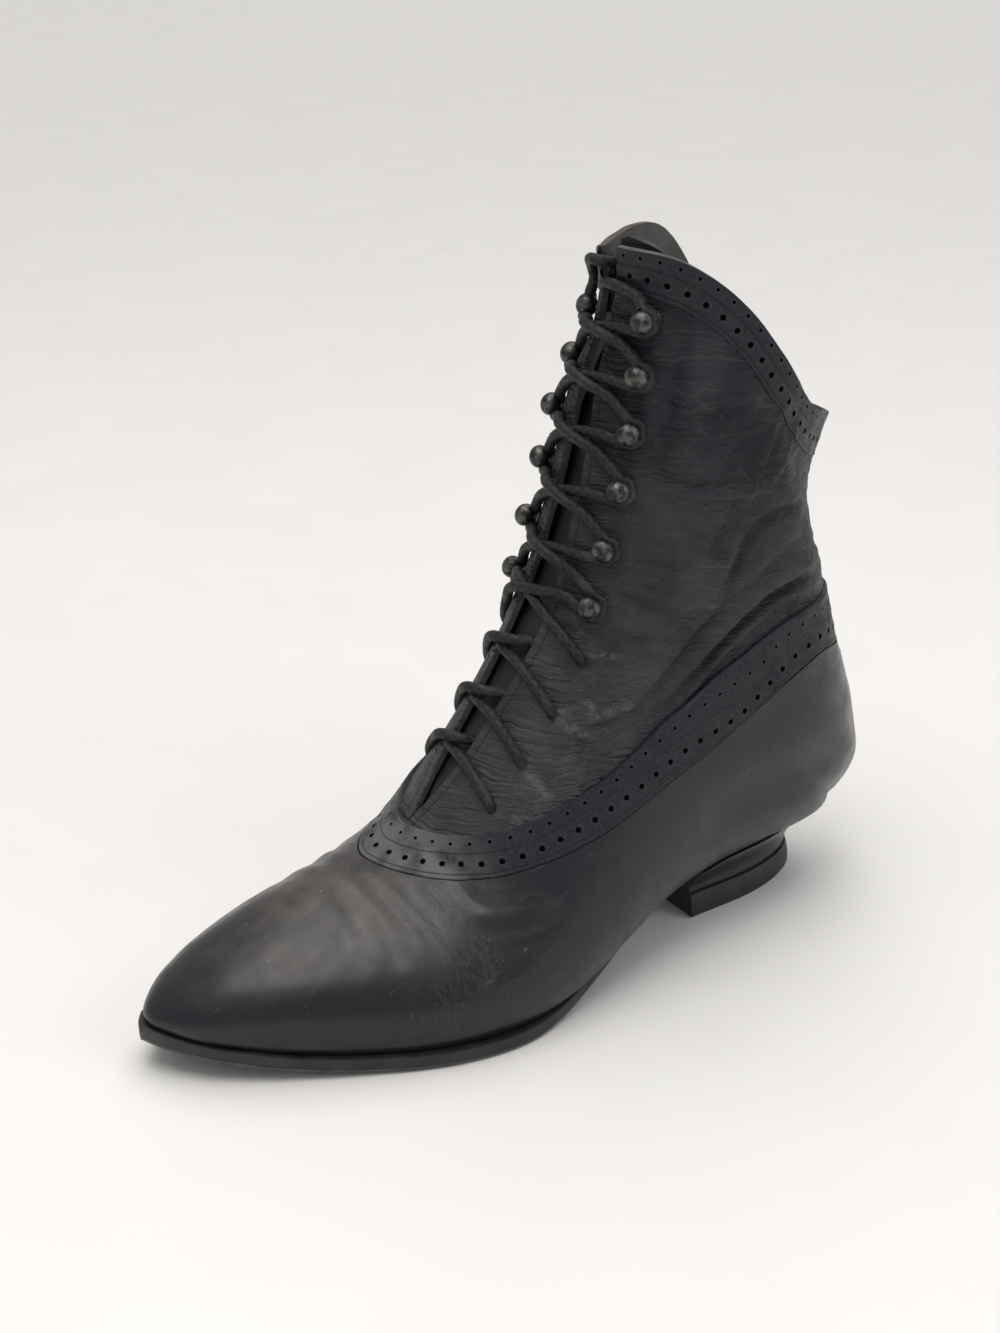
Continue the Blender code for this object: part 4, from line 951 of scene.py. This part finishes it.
def buildUpper():
    spots, normals, rings = grid(upperRings)
    lift = creaseLift(spots)
    outer = spots + normals * (lift - edgeDrop(spots, rings))[..., None]
    inner = spots + normals * (lift * strip["liningFollows"] - boot["wall"])[..., None]
    floor = soleTop(np.clip(shareAt(inner[..., 0]), 0, 1)) + boot["gap"]
    inner[..., 2] = np.maximum(inner[..., 2], floor)
    rows, columns = spots.shape[:2]
    size = rows * columns
    outerFaces = gridFaces(rows, columns, half - 1)
    innerFaces = gridFaces(rows, columns, half - 1, base=size, flip=True)
    # the raw edges: collar and facings
    rim = []
    for c in range(columns - 1):
        if c != half - 1:
            a = (rows - 1) * columns + c
            rim.append([a, a + size, a + size + 1, a + 1])
    openRow = int(np.argmax(ringValue("gap", rings[:, half - 1]) > strip["openGap"] / 2))
    for a in range(openRow * columns + half - 1, (rows - 1) * columns, columns):
        rim.append([a, a + size, a + size + columns, a + columns])
        rim.append([a + 1 + columns, a + 1 + size + columns, a + 1 + size, a + 1])
    slots = [0] * len(outerFaces) + [1] * len(innerFaces) + [2] * len(rim)
    # the sewn line: height up the leather and distance from the facing's edge, in mm
    run = lengthsAlong(spots, 1) * 1000
    off = np.abs(run - np.where(np.arange(columns) < half, run[:, half - 1:half], run[:, half:half + 1]))
    up = lengthsAlong(spots, 0) * 1000
    stitch = np.stack([up - up[strip["underRings"] + strip["besideBand"] - 1], off - strip["stitchIn"]], -1)
    return meshFrom("upperLeather", np.stack([outer, inner]), outerFaces + innerFaces + rim,
                    [quarterLeather, liningCloth, rawEdge], 60, slots, {"topStitch": np.stack([stitch] * 2)})


def besideRow(spots, row, sign):
    # how far along a row of holes or a seam every point lies, and how far off it, in mm
    off, along, run = nearestOn(spots.reshape(-1, 3), row, half - 1)
    lateral, medial = run[half - 1], run[half]
    along = along - np.where(along < (lateral + medial) / 2, lateral, medial)
    u = along * 1000 + leather["holePitch"] * 40
    return np.stack([u.reshape(sign.shape), off.reshape(sign.shape) * 1000 * sign], -1)


def buildStrip(name, node, ringsOf, thick, material, lines, roundEnds):
    # one layer of leather over the upper; lines lie at shares of its width from the top
    spots, normals, rings = grid(ringsOf)
    rows, columns = spots.shape[:2]
    raised = np.ones((rows, 1))
    if roundEnds:
        raised[:4, 0] = strip["edgeShare"]
        raised[-4:, 0] = strip["edgeShare"][::-1]
    raised = np.where(raised > 0, raised * thick, strip["least"])
    lift = creaseLift(spots) + raised + featherCurl(spots) - np.minimum(edgeDrop(spots, rings), raised)
    run = lengthsAlong(spots, 0) * 1000
    depth = run[-1:] - run
    maps = {}
    for key, share in lines.items():
        row = np.array([[np.interp(share * run[-1, c], depth[::-1, c], spots[::-1, c, k])
                         for k in range(3)] for c in range(columns)])
        maps[key] = besideRow(spots, row, np.where(depth < share * run[-1:], -1.0, 1.0))
    outer = spots + normals * lift[..., None]
    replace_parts(meshFrom(name, outer, gridFaces(rows, columns, half - 1), [material], 60, maps=maps), node)


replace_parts(buildUpper(), "upper")
print("upper built")
buildStrip("foxingLeather", "vamp_foxing", foxingRings, boot["overlay"], vampLeather, {}, False)
buildStrip("brogueBandLeather", "brogue_band", bandRings, boot["band"], bandLeather,
           {"rowSmall": 0.22, "rowBig": 0.68, "seamMid": 0.45, "seamLow": 0.90}, True)
buildStrip("collarBandLeather", "collar_band", collarRings, boot["collarBand"], collarLeather,
           {"rowSmall": 0.16, "rowBig": 0.62, "seamMid": 0.38, "seamLow": 0.88}, True)
print("strips built")

# The sole's edge from the top down: (inset, drop) in mm. Below it, over the lip:
# (inset in mm, most share of the half width, share of the lip's height, rise in mm).
sole = {
    "edge": [(2.2, 0.0), (0.7, 0.0), (0.2, 0.15), (0.0, 0.6)],
    "under": [(0.0, 1.0, 1.0, 0.25), (0.25, 0.5, 1.0, 0.10), (0.0, 1.0, 1.0, -0.05),
              (0.3, 0.5, 0.4, 0.0), (1.0, 0.6, 0.0, 0.1), (1.6, 0.8, 0.0, 0.0)],
    "lip": 1.5,
    "stations": 150,
}
soleBlack = plainLook("soleEdge", (0.010, 0.010, 0.011), (0.022, 0.021, 0.021), 90.0, (0.42, 0.62),
                      0.05, 700.0)
soleLipLook = plainLook("soleLip", (0.035, 0.033, 0.032), (0.075, 0.070, 0.066), 140.0, (0.45, 0.65),
                        0.06, 500.0)
soleUnderLook = plainLook("soleUnder", (0.030, 0.029, 0.028), (0.055, 0.050, 0.047), 50.0, (0.6, 0.85),
                          0.12, 400.0)


def tipSpread(start, end, count):
    turn = np.linspace(0, math.pi, count + 1)
    return start + (end - start) * (1 - np.cos(turn)) / 2


def loft(name, loops, materials, sharp, slotOf=None):
    # a closed body through loops of points
    loops = np.array(loops, float)
    rows, count = loops.shape[:2]
    faces, slots = [], []
    for r in range(rows - 1):
        for k in range(count):
            a, b = r * count + k, r * count + (k + 1) % count
            faces.append([a, b, b + count, a + count])
            slots.append(slotOf(k) if slotOf else 0)
    faces += [list(range(count))[::-1], list(range((rows - 1) * count, rows * count))]
    return meshFrom(name, loops, faces, materials, sharp, slots + [0, 0], turnOut=True)


def buildOutsole():
    shares = tipSpread(boot["seatBack"] + 1e-4, 1 - 1e-4, sole["stations"])
    lateral, medial = plan(shares)
    out = smoothLine(planLine, "edge", shares, snug=False) * boot["soleThickness"]
    top, under = soleTop(shares), soleUnder(shares)
    reach = out * (seatRound(shares) - tipRound(shares))
    middle, halfWide = (lateral - medial) / 2, (lateral + medial) / 2
    loops = []
    for k, share in enumerate(shares):
        wide = max(halfWide[k] + out[k] * min(1, halfWide[k] / boot["soleThickness"]), tiny)
        thick = top[k] - under[k]
        lip = min(sole["lip"] / 1000, thick / 2)
        side = [(min(inset / 1000, wide * 0.9), top[k] - min(drop / 1000, thick / 3))
                for inset, drop in sole["edge"]]
        side += [(min(inset / 1000, wide * most), under[k] + lip * part + rise / 1000)
                 for inset, most, part, rise in sole["under"]]
        x = xAt(share) + reach[k]
        loops.append([(x, middle[k] + wide - inset, z) for inset, z in side]
                     + [(x, middle[k] - wide + inset, z) for inset, z in reversed(side)])
    count = len(loops[0])

    def slotOf(k):
        k = min(k, count - 2 - k) if k < count - 1 else 0
        return 2 if k >= count // 2 - 1 else int(k > len(sole["edge"]))

    made = loft("soleLeather", loops, [soleBlack, soleLipLook, soleUnderLook], 40, slotOf)
    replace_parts(made, "outsole")


buildOutsole()

# both parts of the heel, from below: shares of its height, length and width, and how far the
# breast stands back
heel = {
    "profile": table("rise length width breast", [
        (0.00, 0.915, 0.700, 0.000),
        (0.14, 0.920, 0.700, 0.000),
        (0.34, 0.935, 0.740, 0.000),
        (0.58, 0.955, 0.830, 0.000),
        (0.80, 0.980, 0.930, 0.000),
        (1.00, 1.000, 1.000, 0.000),
    ]),
    "topPiece": table("rise length width breast", [
        (0.00, 0.925, 0.745, 0.008),
        (0.16, 0.945, 0.770, 0.000),
        (0.60, 0.940, 0.762, 0.000),
        (1.00, 0.925, 0.740, 0.002),
    ]),
    "topPieceHeight": 0.0084,
    "length": 0.227,
    "rows": 22,
    "turns": 31,
}
heelLook = plainLook("heelLacquer", (0.011, 0.011, 0.012), (0.020, 0.019, 0.019), 70.0, (0.28, 0.48),
                     0.03, 500.0, Coat_Weight=0.2, Coat_Roughness=0.25)
topPieceLook = plainLook("heelTopPiece", (0.012, 0.012, 0.012), (0.026, 0.025, 0.025), 110.0, (0.45, 0.65),
                         0.05, 600.0)


def heelLoops(rows, low, high=None):
    # without a height of its own, the heel goes up to the sole
    turn = np.linspace(0, math.pi / 2, heel["turns"])
    shares = boot["seatBack"] + heel["length"] * (1 - np.sin(turn))
    lateral, medial = plan(shares)
    out = smoothLine(planLine, "edge", shares, snug=False) * boot["soleThickness"]
    out = out * np.minimum(1, lateral / boot["soleThickness"])
    lateral, medial = lateral + out, medial + out
    lateral[-1] = medial[-1] = 0.0
    across = np.concatenate([lateral, -medial[:-1][::-1]])
    shares = np.concatenate([shares, shares[:-1][::-1]])
    ceiling = soleUnder(shares) - boot["gap"] if high is None else high
    breast, length = xAt(shares[0]), boot["footLength"] * heel["length"]
    loops = []
    for rise in np.linspace(0, 1, heel["rows"]):
        long, wide, back = (float(smoothLine(rows, c, rise, key="rise"))
                            for c in ("length", "width", "breast"))
        x = breast - back * length + (xAt(shares) - breast) * (long - back)
        z = np.broadcast_to(low + (ceiling - low) * rise, x.shape)
        loops.append(np.stack([x, across * wide, z], -1))
    return loops


block = heelLoops(heel["profile"], heel["topPieceHeight"] + boot["gap"])
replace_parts(loft("heelBlock", block, [heelLook], 40), "heel_block")
topPiece = heelLoops(heel["topPiece"], 0.0, heel["topPieceHeight"])
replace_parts(loft("heelTopPiece", topPiece, [topPieceLook], 40), "heel_top_piece")
print("sole and heel built")

tongue = {
    "sink": 0.0012,
    "drop": 0.0034,
    "half": 0.0185,
    "start": 6.3,
    "rise": 0.0006,
    "thick": 0.0014,
    "wave": 0.0004,
    "rows": 70,
    "topRows": 16,
    "across": 21,
    "narrow": 0.72,         # its width at the throat, and over how many rows it widens
    "widens": 22,
    "roundFrom": 0.94,
}
tongueLook = plainLook("tongueLeather", (0.013, 0.013, 0.014), (0.024, 0.023, 0.023), 45.0, (0.5, 0.7),
                       0.10, 1300.0, Specular_IOR_Level=0.4)


def buildTongue():
    last = boot["lastRing"]
    rings = np.append(np.linspace(tongue["start"], last - 1, tongue["rows"]),
                      np.linspace(last - 0.95, last, tongue["topRows"]))
    places = np.linspace(-1, 1, tongue["across"])
    loops = []
    for k, ring in enumerate(rings):
        share = (ring - tongue["start"]) / (last - tongue["start"])
        sink = boot["wall"] + tongue["sink"] + tongue["drop"] * share
        # the top is rounded
        close = max(0, (share - tongue["roundFrom"]) / (1 - tongue["roundFrom"]))
        narrow = tongue["narrow"] + (1 - tongue["narrow"]) * min(1, k / tongue["widens"])
        narrow *= math.sqrt(1 - 0.85 * close ** 3)
        frames = []
        for place in places:
            side = 1 if place >= 0 else -1
            around = atReach(ring, abs(place) * narrow * tongue["half"] / boot["ballWidth"], side)
            frames.append(skinFrame(ring, min(around, boot["nearRidge"]), side))
        ahead = np.mean([out for _, out, _, _ in frames], axis=0)
        front, back = [], []
        for place, (spot, out, up, _) in zip(places, frames):
            wave = tongue["wave"] * math.sin(ring * 2.3 + place * 2) * share
            spot = spot + up * tongue["rise"] * (1.6 - place ** 2) * close ** 1.5
            way = unit(out + ahead)
            front.append(spot - way * (sink - wave))
            back.append(spot - way * (sink + tongue["thick"] - wave))
        loops.append(front + back[::-1])
    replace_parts(loft("tongueLeather", loops, [tongueLook], 50), "tongue")


buildTongue()

insole = {
    "back": 0.028,          # shares of the foot's length
    "front": 0.045,
    "ease": 0.03,
    "low": 0.0021,
    "apart": 0.0011,
    "thick": 0.0018,
    "crown": 0.0003,
    "stations": 60,
    "lastRing": 12,
}
insoleLook = plainLook("insoleLeather", (0.050, 0.044, 0.038), (0.085, 0.072, 0.060), 40.0, (0.6, 0.85),
                       0.08, 900.0)


def buildInsole():
    # the board that closes the foot from inside
    start, end = boot["seatBack"] + insole["back"], 1 - insole["front"]
    foot = np.arange(insole["lastRing"] + 1)
    around = np.linspace(0, boot["turn"], 25)
    ys = np.linspace(1, -1, 9)
    loops = []
    for share in tipSpread(start, end, insole["stations"]):
        ease = math.sqrt(np.clip(min(share - start, end - share) / insole["ease"], 0, 1))
        ring = float(np.interp(-share, -ringTable["footX"][foot], foot))
        sides = []
        for side in (1, -1):
            spots = lastPoint(np.full_like(around, ring), around, side)
            low = spots[spots[:, 2] - spots[0, 2] <= insole["low"]]
            sides.append(float(np.min(low[:, 1] * side)) - boot["wall"] - insole["apart"])
        middle, halfWide = (sides[0] - sides[1]) / 2, (sides[0] + sides[1]) / 2 * max(ease, 0.02)
        x, low = xAt(share), float(soleTop(share)) + boot["onSole"]
        top = [(x, middle + halfWide * y, low + insole["thick"] - insole["crown"] * y ** 4) for y in ys]
        loops.append(top + [(x, middle + halfWide * y, low) for y in ys[::-1]])
    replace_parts(loft("insoleBoard", loops, [insoleLook], 50), "insole")


buildInsole()
print("tongue and insole built")

# rows of lacing from the throat up: place along the rings, distance off the middle line
lacing = {
    "holes": [(7.14, 0.291), (8.02, 0.300), (8.95, 0.305), (10.01, 0.310)],
    "hooks": [(11.20, 0.266), (12.73, 0.242), (14.20, 0.240), (15.75, 0.234), (17.40, 0.220),
              (19.45, 0.204)],
    "thick": 0.0034,
    "wrap": 0.0033,
    "overHook": 0.0023,
    "topHook": 0.0017,
    "over": 0.0017,
    "under": 0.0016,
    "hole": (0.10, 0.010, 0.002, -0.0004),      # climb below it, width past it and in it, level
    # edge of the other facing: share of the gap, levels from both sides, climb and width past it
    "tuck": (0.55, -0.0002, 0.0012, 0.12, 0.035),
    # bars over the facings: where they leave their hole and go under the other facing, in shares
    # of the climb to the next hole, and between them (climb, share of the hole's distance off the
    # middle, more distance, mm over the leather)
    "outerBar": (0.0, 0.38, [(0.07, 1.0, -0.022, 1.7), (0.18, 0.66, 0, 1.7), (0.28, 0.36, 0, 1.1)]),
    "innerBar": (0.0, 0.64, [(0.08, 1.0, -0.022, 1.7), (0.28, 0.62, 0, 1.8), (0.46, 0.22, 0, 3.1)]),
    "huggingBar": (0.26, 0.58, [(0.34, 1.0, -0.040, 1.02), (0.42, 0.48, 0, 1.7), (0.48, 0.16, 0, 3.3)]),
    "hugging": 3,
    "toHook": [(0.66, 0.30), (0.84, 0.66)],
    "turns": (-100, -62, -20, 20, 62, 100),     # degrees round a hook
    "crossings": (0.22, 0.4, 0.6, 0.78),
    "crossingRise": 0.0026,
}
hook = {
    "ball": 0.0070,
    "flat": 0.90,
    "base": 0.0072,
    "stem": 0.0030,
    "stand": 0.0048,
    "lean": 0.05,
    "segments": 28,
}


def hookLook():
    look = Look("hookMetal", Metallic=1.0, Roughness=0.4)
    spot = look.place()
    worn = look.noise(spot, 420.0, 3.0, 0.65)
    pits = look.cells(spot, 1300.0).smooth(0.25, 0.1) * look.noise(spot, 500.0).smooth(0.5, 0.65)
    colour = look.mix(worn.smooth(0.40, 0.62), (0.040, 0.039, 0.039), (0.13, 0.125, 0.120))
    colour = look.mix(pits * 0.7, colour, (0.015, 0.014, 0.013))
    rough = look.noise(spot, 900.0, 3.0).smooth(0.3, 0.7, 0.34, 0.55)
    return look.finish(colour, rough, look.noise(spot, 700.0, 2.0) * 0.16 - pits * 0.08)


hookMetal = hookLook()


def hookProfile():
    # washer, neck and domed head: (height, radius)
    ball, base, stem = hook["ball"] / 2, hook["base"] / 2, hook["stem"] / 2
    rows = [(0.0, 0.0), (0.0, base), (0.00035, base), (0.0006, base - 0.0002),
            (0.0008, base - 0.0008), (0.00085, stem + 0.0003), (0.0012, stem)]
    for angle in np.linspace(math.asin(stem / ball) - math.pi / 2, math.pi / 2 - 0.05, 16):
        flat = hook["flat"] if angle > 0 else 1.0
        rows.append((hook["stand"] + ball * math.sin(angle) * flat, ball * math.cos(angle)))
    return rows + [(rows[-1][0], 0.0)]


def turned(name, profile, spot, out, up):
    angles = np.arange(hook["segments"]) * 2 * math.pi / hook["segments"]
    ways = np.cos(angles)[:, None] * up + np.sin(angles)[:, None] * np.cross(out, up)
    loops = [spot + out * height + ways * max(radius, tiny) for height, radius in profile]
    return loft(name, loops, [hookMetal], 45)


for row, (ring, reach) in enumerate(lacing["hooks"], 1):
    for side, hand in ((1, "lateral"), (-1, "medial")):
        spot, out, up, _ = skinFrame(ring, atReach(ring, reach, side), side)
        lifted = spot + out * float(creaseLift(spot[None])[0])
        lean = unit(out + up * draw.uniform(-hook["lean"], hook["lean"]))
        made = turned(f"hook{hand.capitalize()}{row}", hookProfile(), lifted, lean, up)
        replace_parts(made, f"hook_{hand}_{row}")
print("hooks built")


def over(ring, reach, lift):
    # a point over the leather; reach is positive on the lateral side
    side = 1 if reach >= 0 else -1
    around = min(atReach(ring, abs(reach), side), boot["nearRidge"])
    spot, out, _, _ = skinFrame(ring, around, side)
    return spot + out * lift


# the lace's braid, lengths in metres but its lay in mm
braid = {
    "strands": 4.0,
    "lay": 3.4,
    "relief": 0.20,
    "pitch": 0.0005,
    "around": 18,
}


def braidLook():
    look = Look("laceCord", Roughness=0.6, Specular_IOR_Level=0.35)
    u, v = look.map("braid")
    spot = look.place()
    left = (u * braid["strands"] + v / braid["lay"]).sum("FRACT") - 0.5
    right = (u * braid["strands"] - v / braid["lay"]).sum("FRACT") - 0.5
    weave = abs(left).sum("MINIMUM", abs(right))
    yarn = look.noise(look.together(u * 30.0, v * 2.0), 1.0, 3.0, 0.6)
    fray = look.noise(spot, 150.0, 3.0).smooth(0.5, 0.75)
    # the grooves between the strands are painted darker: painted shade
    colour = look.mix(weave.smooth(0.10, 0.30), (0.013, 0.0135, 0.015), (0.004, 0.004, 0.005))
    colour = look.mix(fray * 0.35, colour, (0.075, 0.072, 0.070))
    rough = look.noise(spot, 300.0, 2.0).smooth(0.3, 0.7, 0.48, 0.7)
    return look.finish(colour, rough, yarn * 0.10 - weave * 0.30)


laceLook = braidLook()


def cordMesh(name, points):
    # a braided cord with its strands in relief
    path = roundOff(points, 14)
    run = runAlong(path)
    at = np.linspace(0, run[-1], max(int(run[-1] / braid["pitch"]), 4))
    path = np.stack([np.interp(at, run, path[:, k]) for k in range(3)], -1)
    tangent = np.gradient(path, axis=0)
    tangent /= np.linalg.norm(tangent, axis=1, keepdims=True)
    across = np.cross(tangent[0], (0.3, 0.2, 1.0))
    frames = []
    for t in tangent:
        across = unit(across - t * (across @ t))
        frames.append((across, np.cross(t, across)))
    a, b = np.array(frames).transpose(1, 0, 2)[:, :, None]
    run = runAlong(path)[:, None] * 1000
    turn = np.arange(braid["around"] + 1)[None] / braid["around"]
    left, right = (np.abs((turn * braid["strands"] + way * run / braid["lay"]) % 1 - 0.5)
                   for way in (1, -1))
    radius = lacing["thick"] / 2 * (1 - braid["relief"] * np.minimum(left, right))
    angle = (turn * 2 * math.pi)[..., None]
    spots = path[:, None] + (np.cos(angle) * a + np.sin(angle) * b) * radius[..., None]
    rows, columns = radius.shape
    ends = [list(range(columns - 1)), list(range((rows - 1) * columns, rows * columns - 1))[::-1]]
    uv = np.stack(np.broadcast_arrays(turn, run), -1)
    made = meshFrom(name, spots, gridFaces(rows, columns) + ends, [laceLook], 80, maps={"braid": uv})
    return made, path


def laceRun(side):
    # one run, from the lowest hole on one side to the highest hook
    holes, hooks = lacing["holes"], lacing["hooks"]
    lift, deep = lacing["over"], -(boot["wall"] + lacing["under"])
    below, past, within, level = lacing["hole"]
    edge, fromOuter, fromInner, further, tucked = lacing["tuck"]
    points = []
    for k, (ring, reach) in enumerate(holes):
        nextRing, nextReach = (holes + hooks)[k + 1]
        rise = nextRing - ring
        inner = "huggingBar" if k < lacing["hugging"] else "innerBar"
        up, climb, bar = lacing["outerBar" if side > 0 else inner]
        # up through the hole, over the facing and across the throat
        points.append(over(ring + (up - below) * rise, side * (reach + past), deep))
        points.append(over(ring + up * rise, side * (reach + within), level))
        for along, share, more, stand in bar:
            points.append(over(ring + along * rise, side * (reach * share + more), stand / 1000))
        if k + 1 < len(holes):
            # then under the other facing
            gap = float(ringValue("gap", ring + climb * rise))
            points.append(over(ring + climb * rise, -side * gap * edge, fromOuter if side > 0 else fromInner))
            points.append(over(ring + (climb + further) * rise, -side * (gap + tucked), deep))
        else:
            for along, share in lacing["toHook"]:
                points.append(over(ring + along * rise, -side * nextReach * share, lift))
        side = -side
    for k, (ring, reach) in enumerate(hooks):
        spot, out, up, away = skinFrame(ring, atReach(ring, reach, side), side)
        topmost = k == len(hooks) - 1
        hub = spot + out * (lacing["overHook"] + (lacing["topHook"] if topmost else 0.0))
        for turn in lacing["turns"]:
            angle = math.radians(turn)
            points.append(hub + (away * math.cos(angle) + up * math.sin(angle)) * lacing["wrap"])
        if not topmost:
            nextRing, nextReach = hooks[k + 1]
            climb = np.linalg.norm(lastPoint(nextRing, 1.0, side) - lastPoint(ring, 1.0, side))
            wrapped = lacing["wrap"] * (nextRing - ring) / climb
            first, final = ring + wrapped, nextRing - wrapped
            for t in lacing["crossings"]:
                across = side * (reach * (1 - t) - nextReach * t)
                extra = lacing["crossingRise"] if side > 0 and 0.3 < t < 0.7 else 0.0
                points.append(over(first + (final - first) * t, across, lift + extra))
            side = -side
    return points, side


runs = {}
for name, start in (("laceRunOne", 1), ("laceRunTwo", -1)):
    points, side = laceRun(start)
    runs[side] = cordMesh(name, points)
for side in (1, -1):
    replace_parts(runs[side][0], "lace_crossings")
print("lace run built")

# free ends: rings over the top hook, share of its reach, and height in mm over the leather
freeEnds = {
    1: [(0.78, 0.84, 2.4), (0.95, 0.60, 2.4), (1.00, 0.34, 2.2), (0.98, 0.07, 1.9), (0.84, -0.02, 0.0),
        (0.55, 0.02, -3.8), (0.05, 0.20, -4.0), (-0.60, 0.24, -4.1)],
    -1: [(1.15, 0.92, 2.4), (1.70, 0.76, 2.4), (2.02, 0.45, 2.2), (2.05, 0.16, 1.9), (1.92, 0.03, 0.0),
         (1.62, 0.08, -3.8), (1.10, 0.26, -4.0), (0.30, 0.34, -4.1), (-0.30, 0.34, -4.1)],
}
ring, reach = lacing["hooks"][-1]
for side, rows in freeEnds.items():
    hand = "Lateral" if side > 0 else "Medial"
    last = runs[side][1]
    points = [last[-1] + unit(last[-1] - last[-4]) * 0.0001]
    for climb, share, lift in rows:
        points.append(over(ring + climb, side * reach * share, lift / 1000))
    made, path = cordMesh(f"laceEnd{hand}", points)
    length = float(runAlong(path)[-1])
    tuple(path[0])
    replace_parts(made, f"lace_end_{hand.lower()}")
    print("lace end", hand, round(length * 1000, 1), "mm")

# floor, light and camera
stage = {
    "floor": 40.0,
    "floorWhite": (0.800, 0.786, 0.770),
    "floorLight": (0.815, 0.801, 0.785),
    "worldWhite": (1.0, 0.99, 0.98),
    "worldLight": 0.48,
    "sunPower": 1.29,
    "sunAngle": 52,
    "sunTurn": (14, -16, 0),
    "sunWhite": (1.0, 0.99, 0.975),
    # windows: name, place, aimed at, width, height, watts, colour
    "windows": [
        ("softTop", (0.42, 0.12, 1.15), (0.10, 0, 0.05), 0.9, 0.6, 5.0, (1.0, 0.985, 0.96)),
        ("softWindow", (-0.55, 0.85, 0.75), (0.05, 0, 0.1), 0.7, 0.7, 2.5, (0.97, 0.98, 1.0)),
    ],
}


def floorLook():
    look = Look("paleFloor", Roughness=0.6, Specular_IOR_Level=0.3)
    spot = look.place()
    speck = look.noise(spot, 14.0, 4.0).smooth(0.3, 0.7)
    colour = look.mix(speck, stage["floorWhite"], stage["floorLight"])
    rough = look.noise(spot, 40.0).smooth(0.2, 0.8, 0.5, 0.7)
    return look.finish(colour, rough, look.noise(spot, 500.0) * 0.02)


def faceAlong(made, right, up, back, place):
    made.matrix_world = Matrix([[right[k], up[k], back[k], place[k]] for k in range(3)] + [[0, 0, 0, 1]])


bpy.ops.mesh.primitive_plane_add(size=stage["floor"], location=(0.08, 0, 0))
floor = bpy.context.object
floor.name = "floor"
floor.data.materials.append(floorLook())

world = bpy.data.worlds.new("softRoom")
world.use_nodes = True
background = world.node_tree.nodes["Background"]
background.inputs["Color"].default_value = (*stage["worldWhite"], 1)
background.inputs["Strength"].default_value = stage["worldLight"]
bpy.context.scene.world = world

# a wide soft sun lights the whole floor alike, and two windows give the leather its sheen
sun = newObject("softSky", bpy.data.lights.new("softSky", "SUN"))
sun.data.energy = stage["sunPower"]
sun.data.angle = math.radians(stage["sunAngle"])
sun.data.color = stage["sunWhite"]
sun.rotation_euler = [math.radians(a) for a in stage["sunTurn"]]

for name, place, aim, width, height, watts, tint in stage["windows"]:
    lamp = bpy.data.lights.new(name, "AREA")
    lamp.shape = "RECTANGLE"
    lamp.size, lamp.size_y = width, height
    lamp.energy = watts
    lamp.color = tint
    back = unit(np.array(place) - np.array(aim))
    right = unit(np.cross((0, 0, 1.0), back))
    faceAlong(newObject(name, lamp), right, np.cross(back, right), back, place)

camera = {
    "turn": 148.339,        # degrees round from -Y
    "height": 23.5,
    "roll": -1.4204,
    "away": 0.571227,
    "aim": (0.082805, -0.004279, 0.095855),
    "lens": 51.2,
}
turn, height, roll = (math.radians(camera[k]) for k in ("turn", "height", "roll"))
back = np.array([math.sin(turn) * math.cos(height), -math.cos(turn) * math.cos(height), math.sin(height)])
right = unit(np.cross(-back, (0, 0, 1.0)))
up = np.cross(right, -back)
eye = newObject("camera", bpy.data.cameras.new("camera"))
eye.data.lens = camera["lens"]
eye.data.clip_start = 0.01
faceAlong(eye, math.cos(roll) * right + math.sin(roll) * up, math.cos(roll) * up - math.sin(roll) * right,
          back, np.array(camera["aim"]) + camera["away"] * back)
bpy.context.scene.camera = eye
bpy.context.scene.view_settings.view_transform = "Standard"
print("stage set")
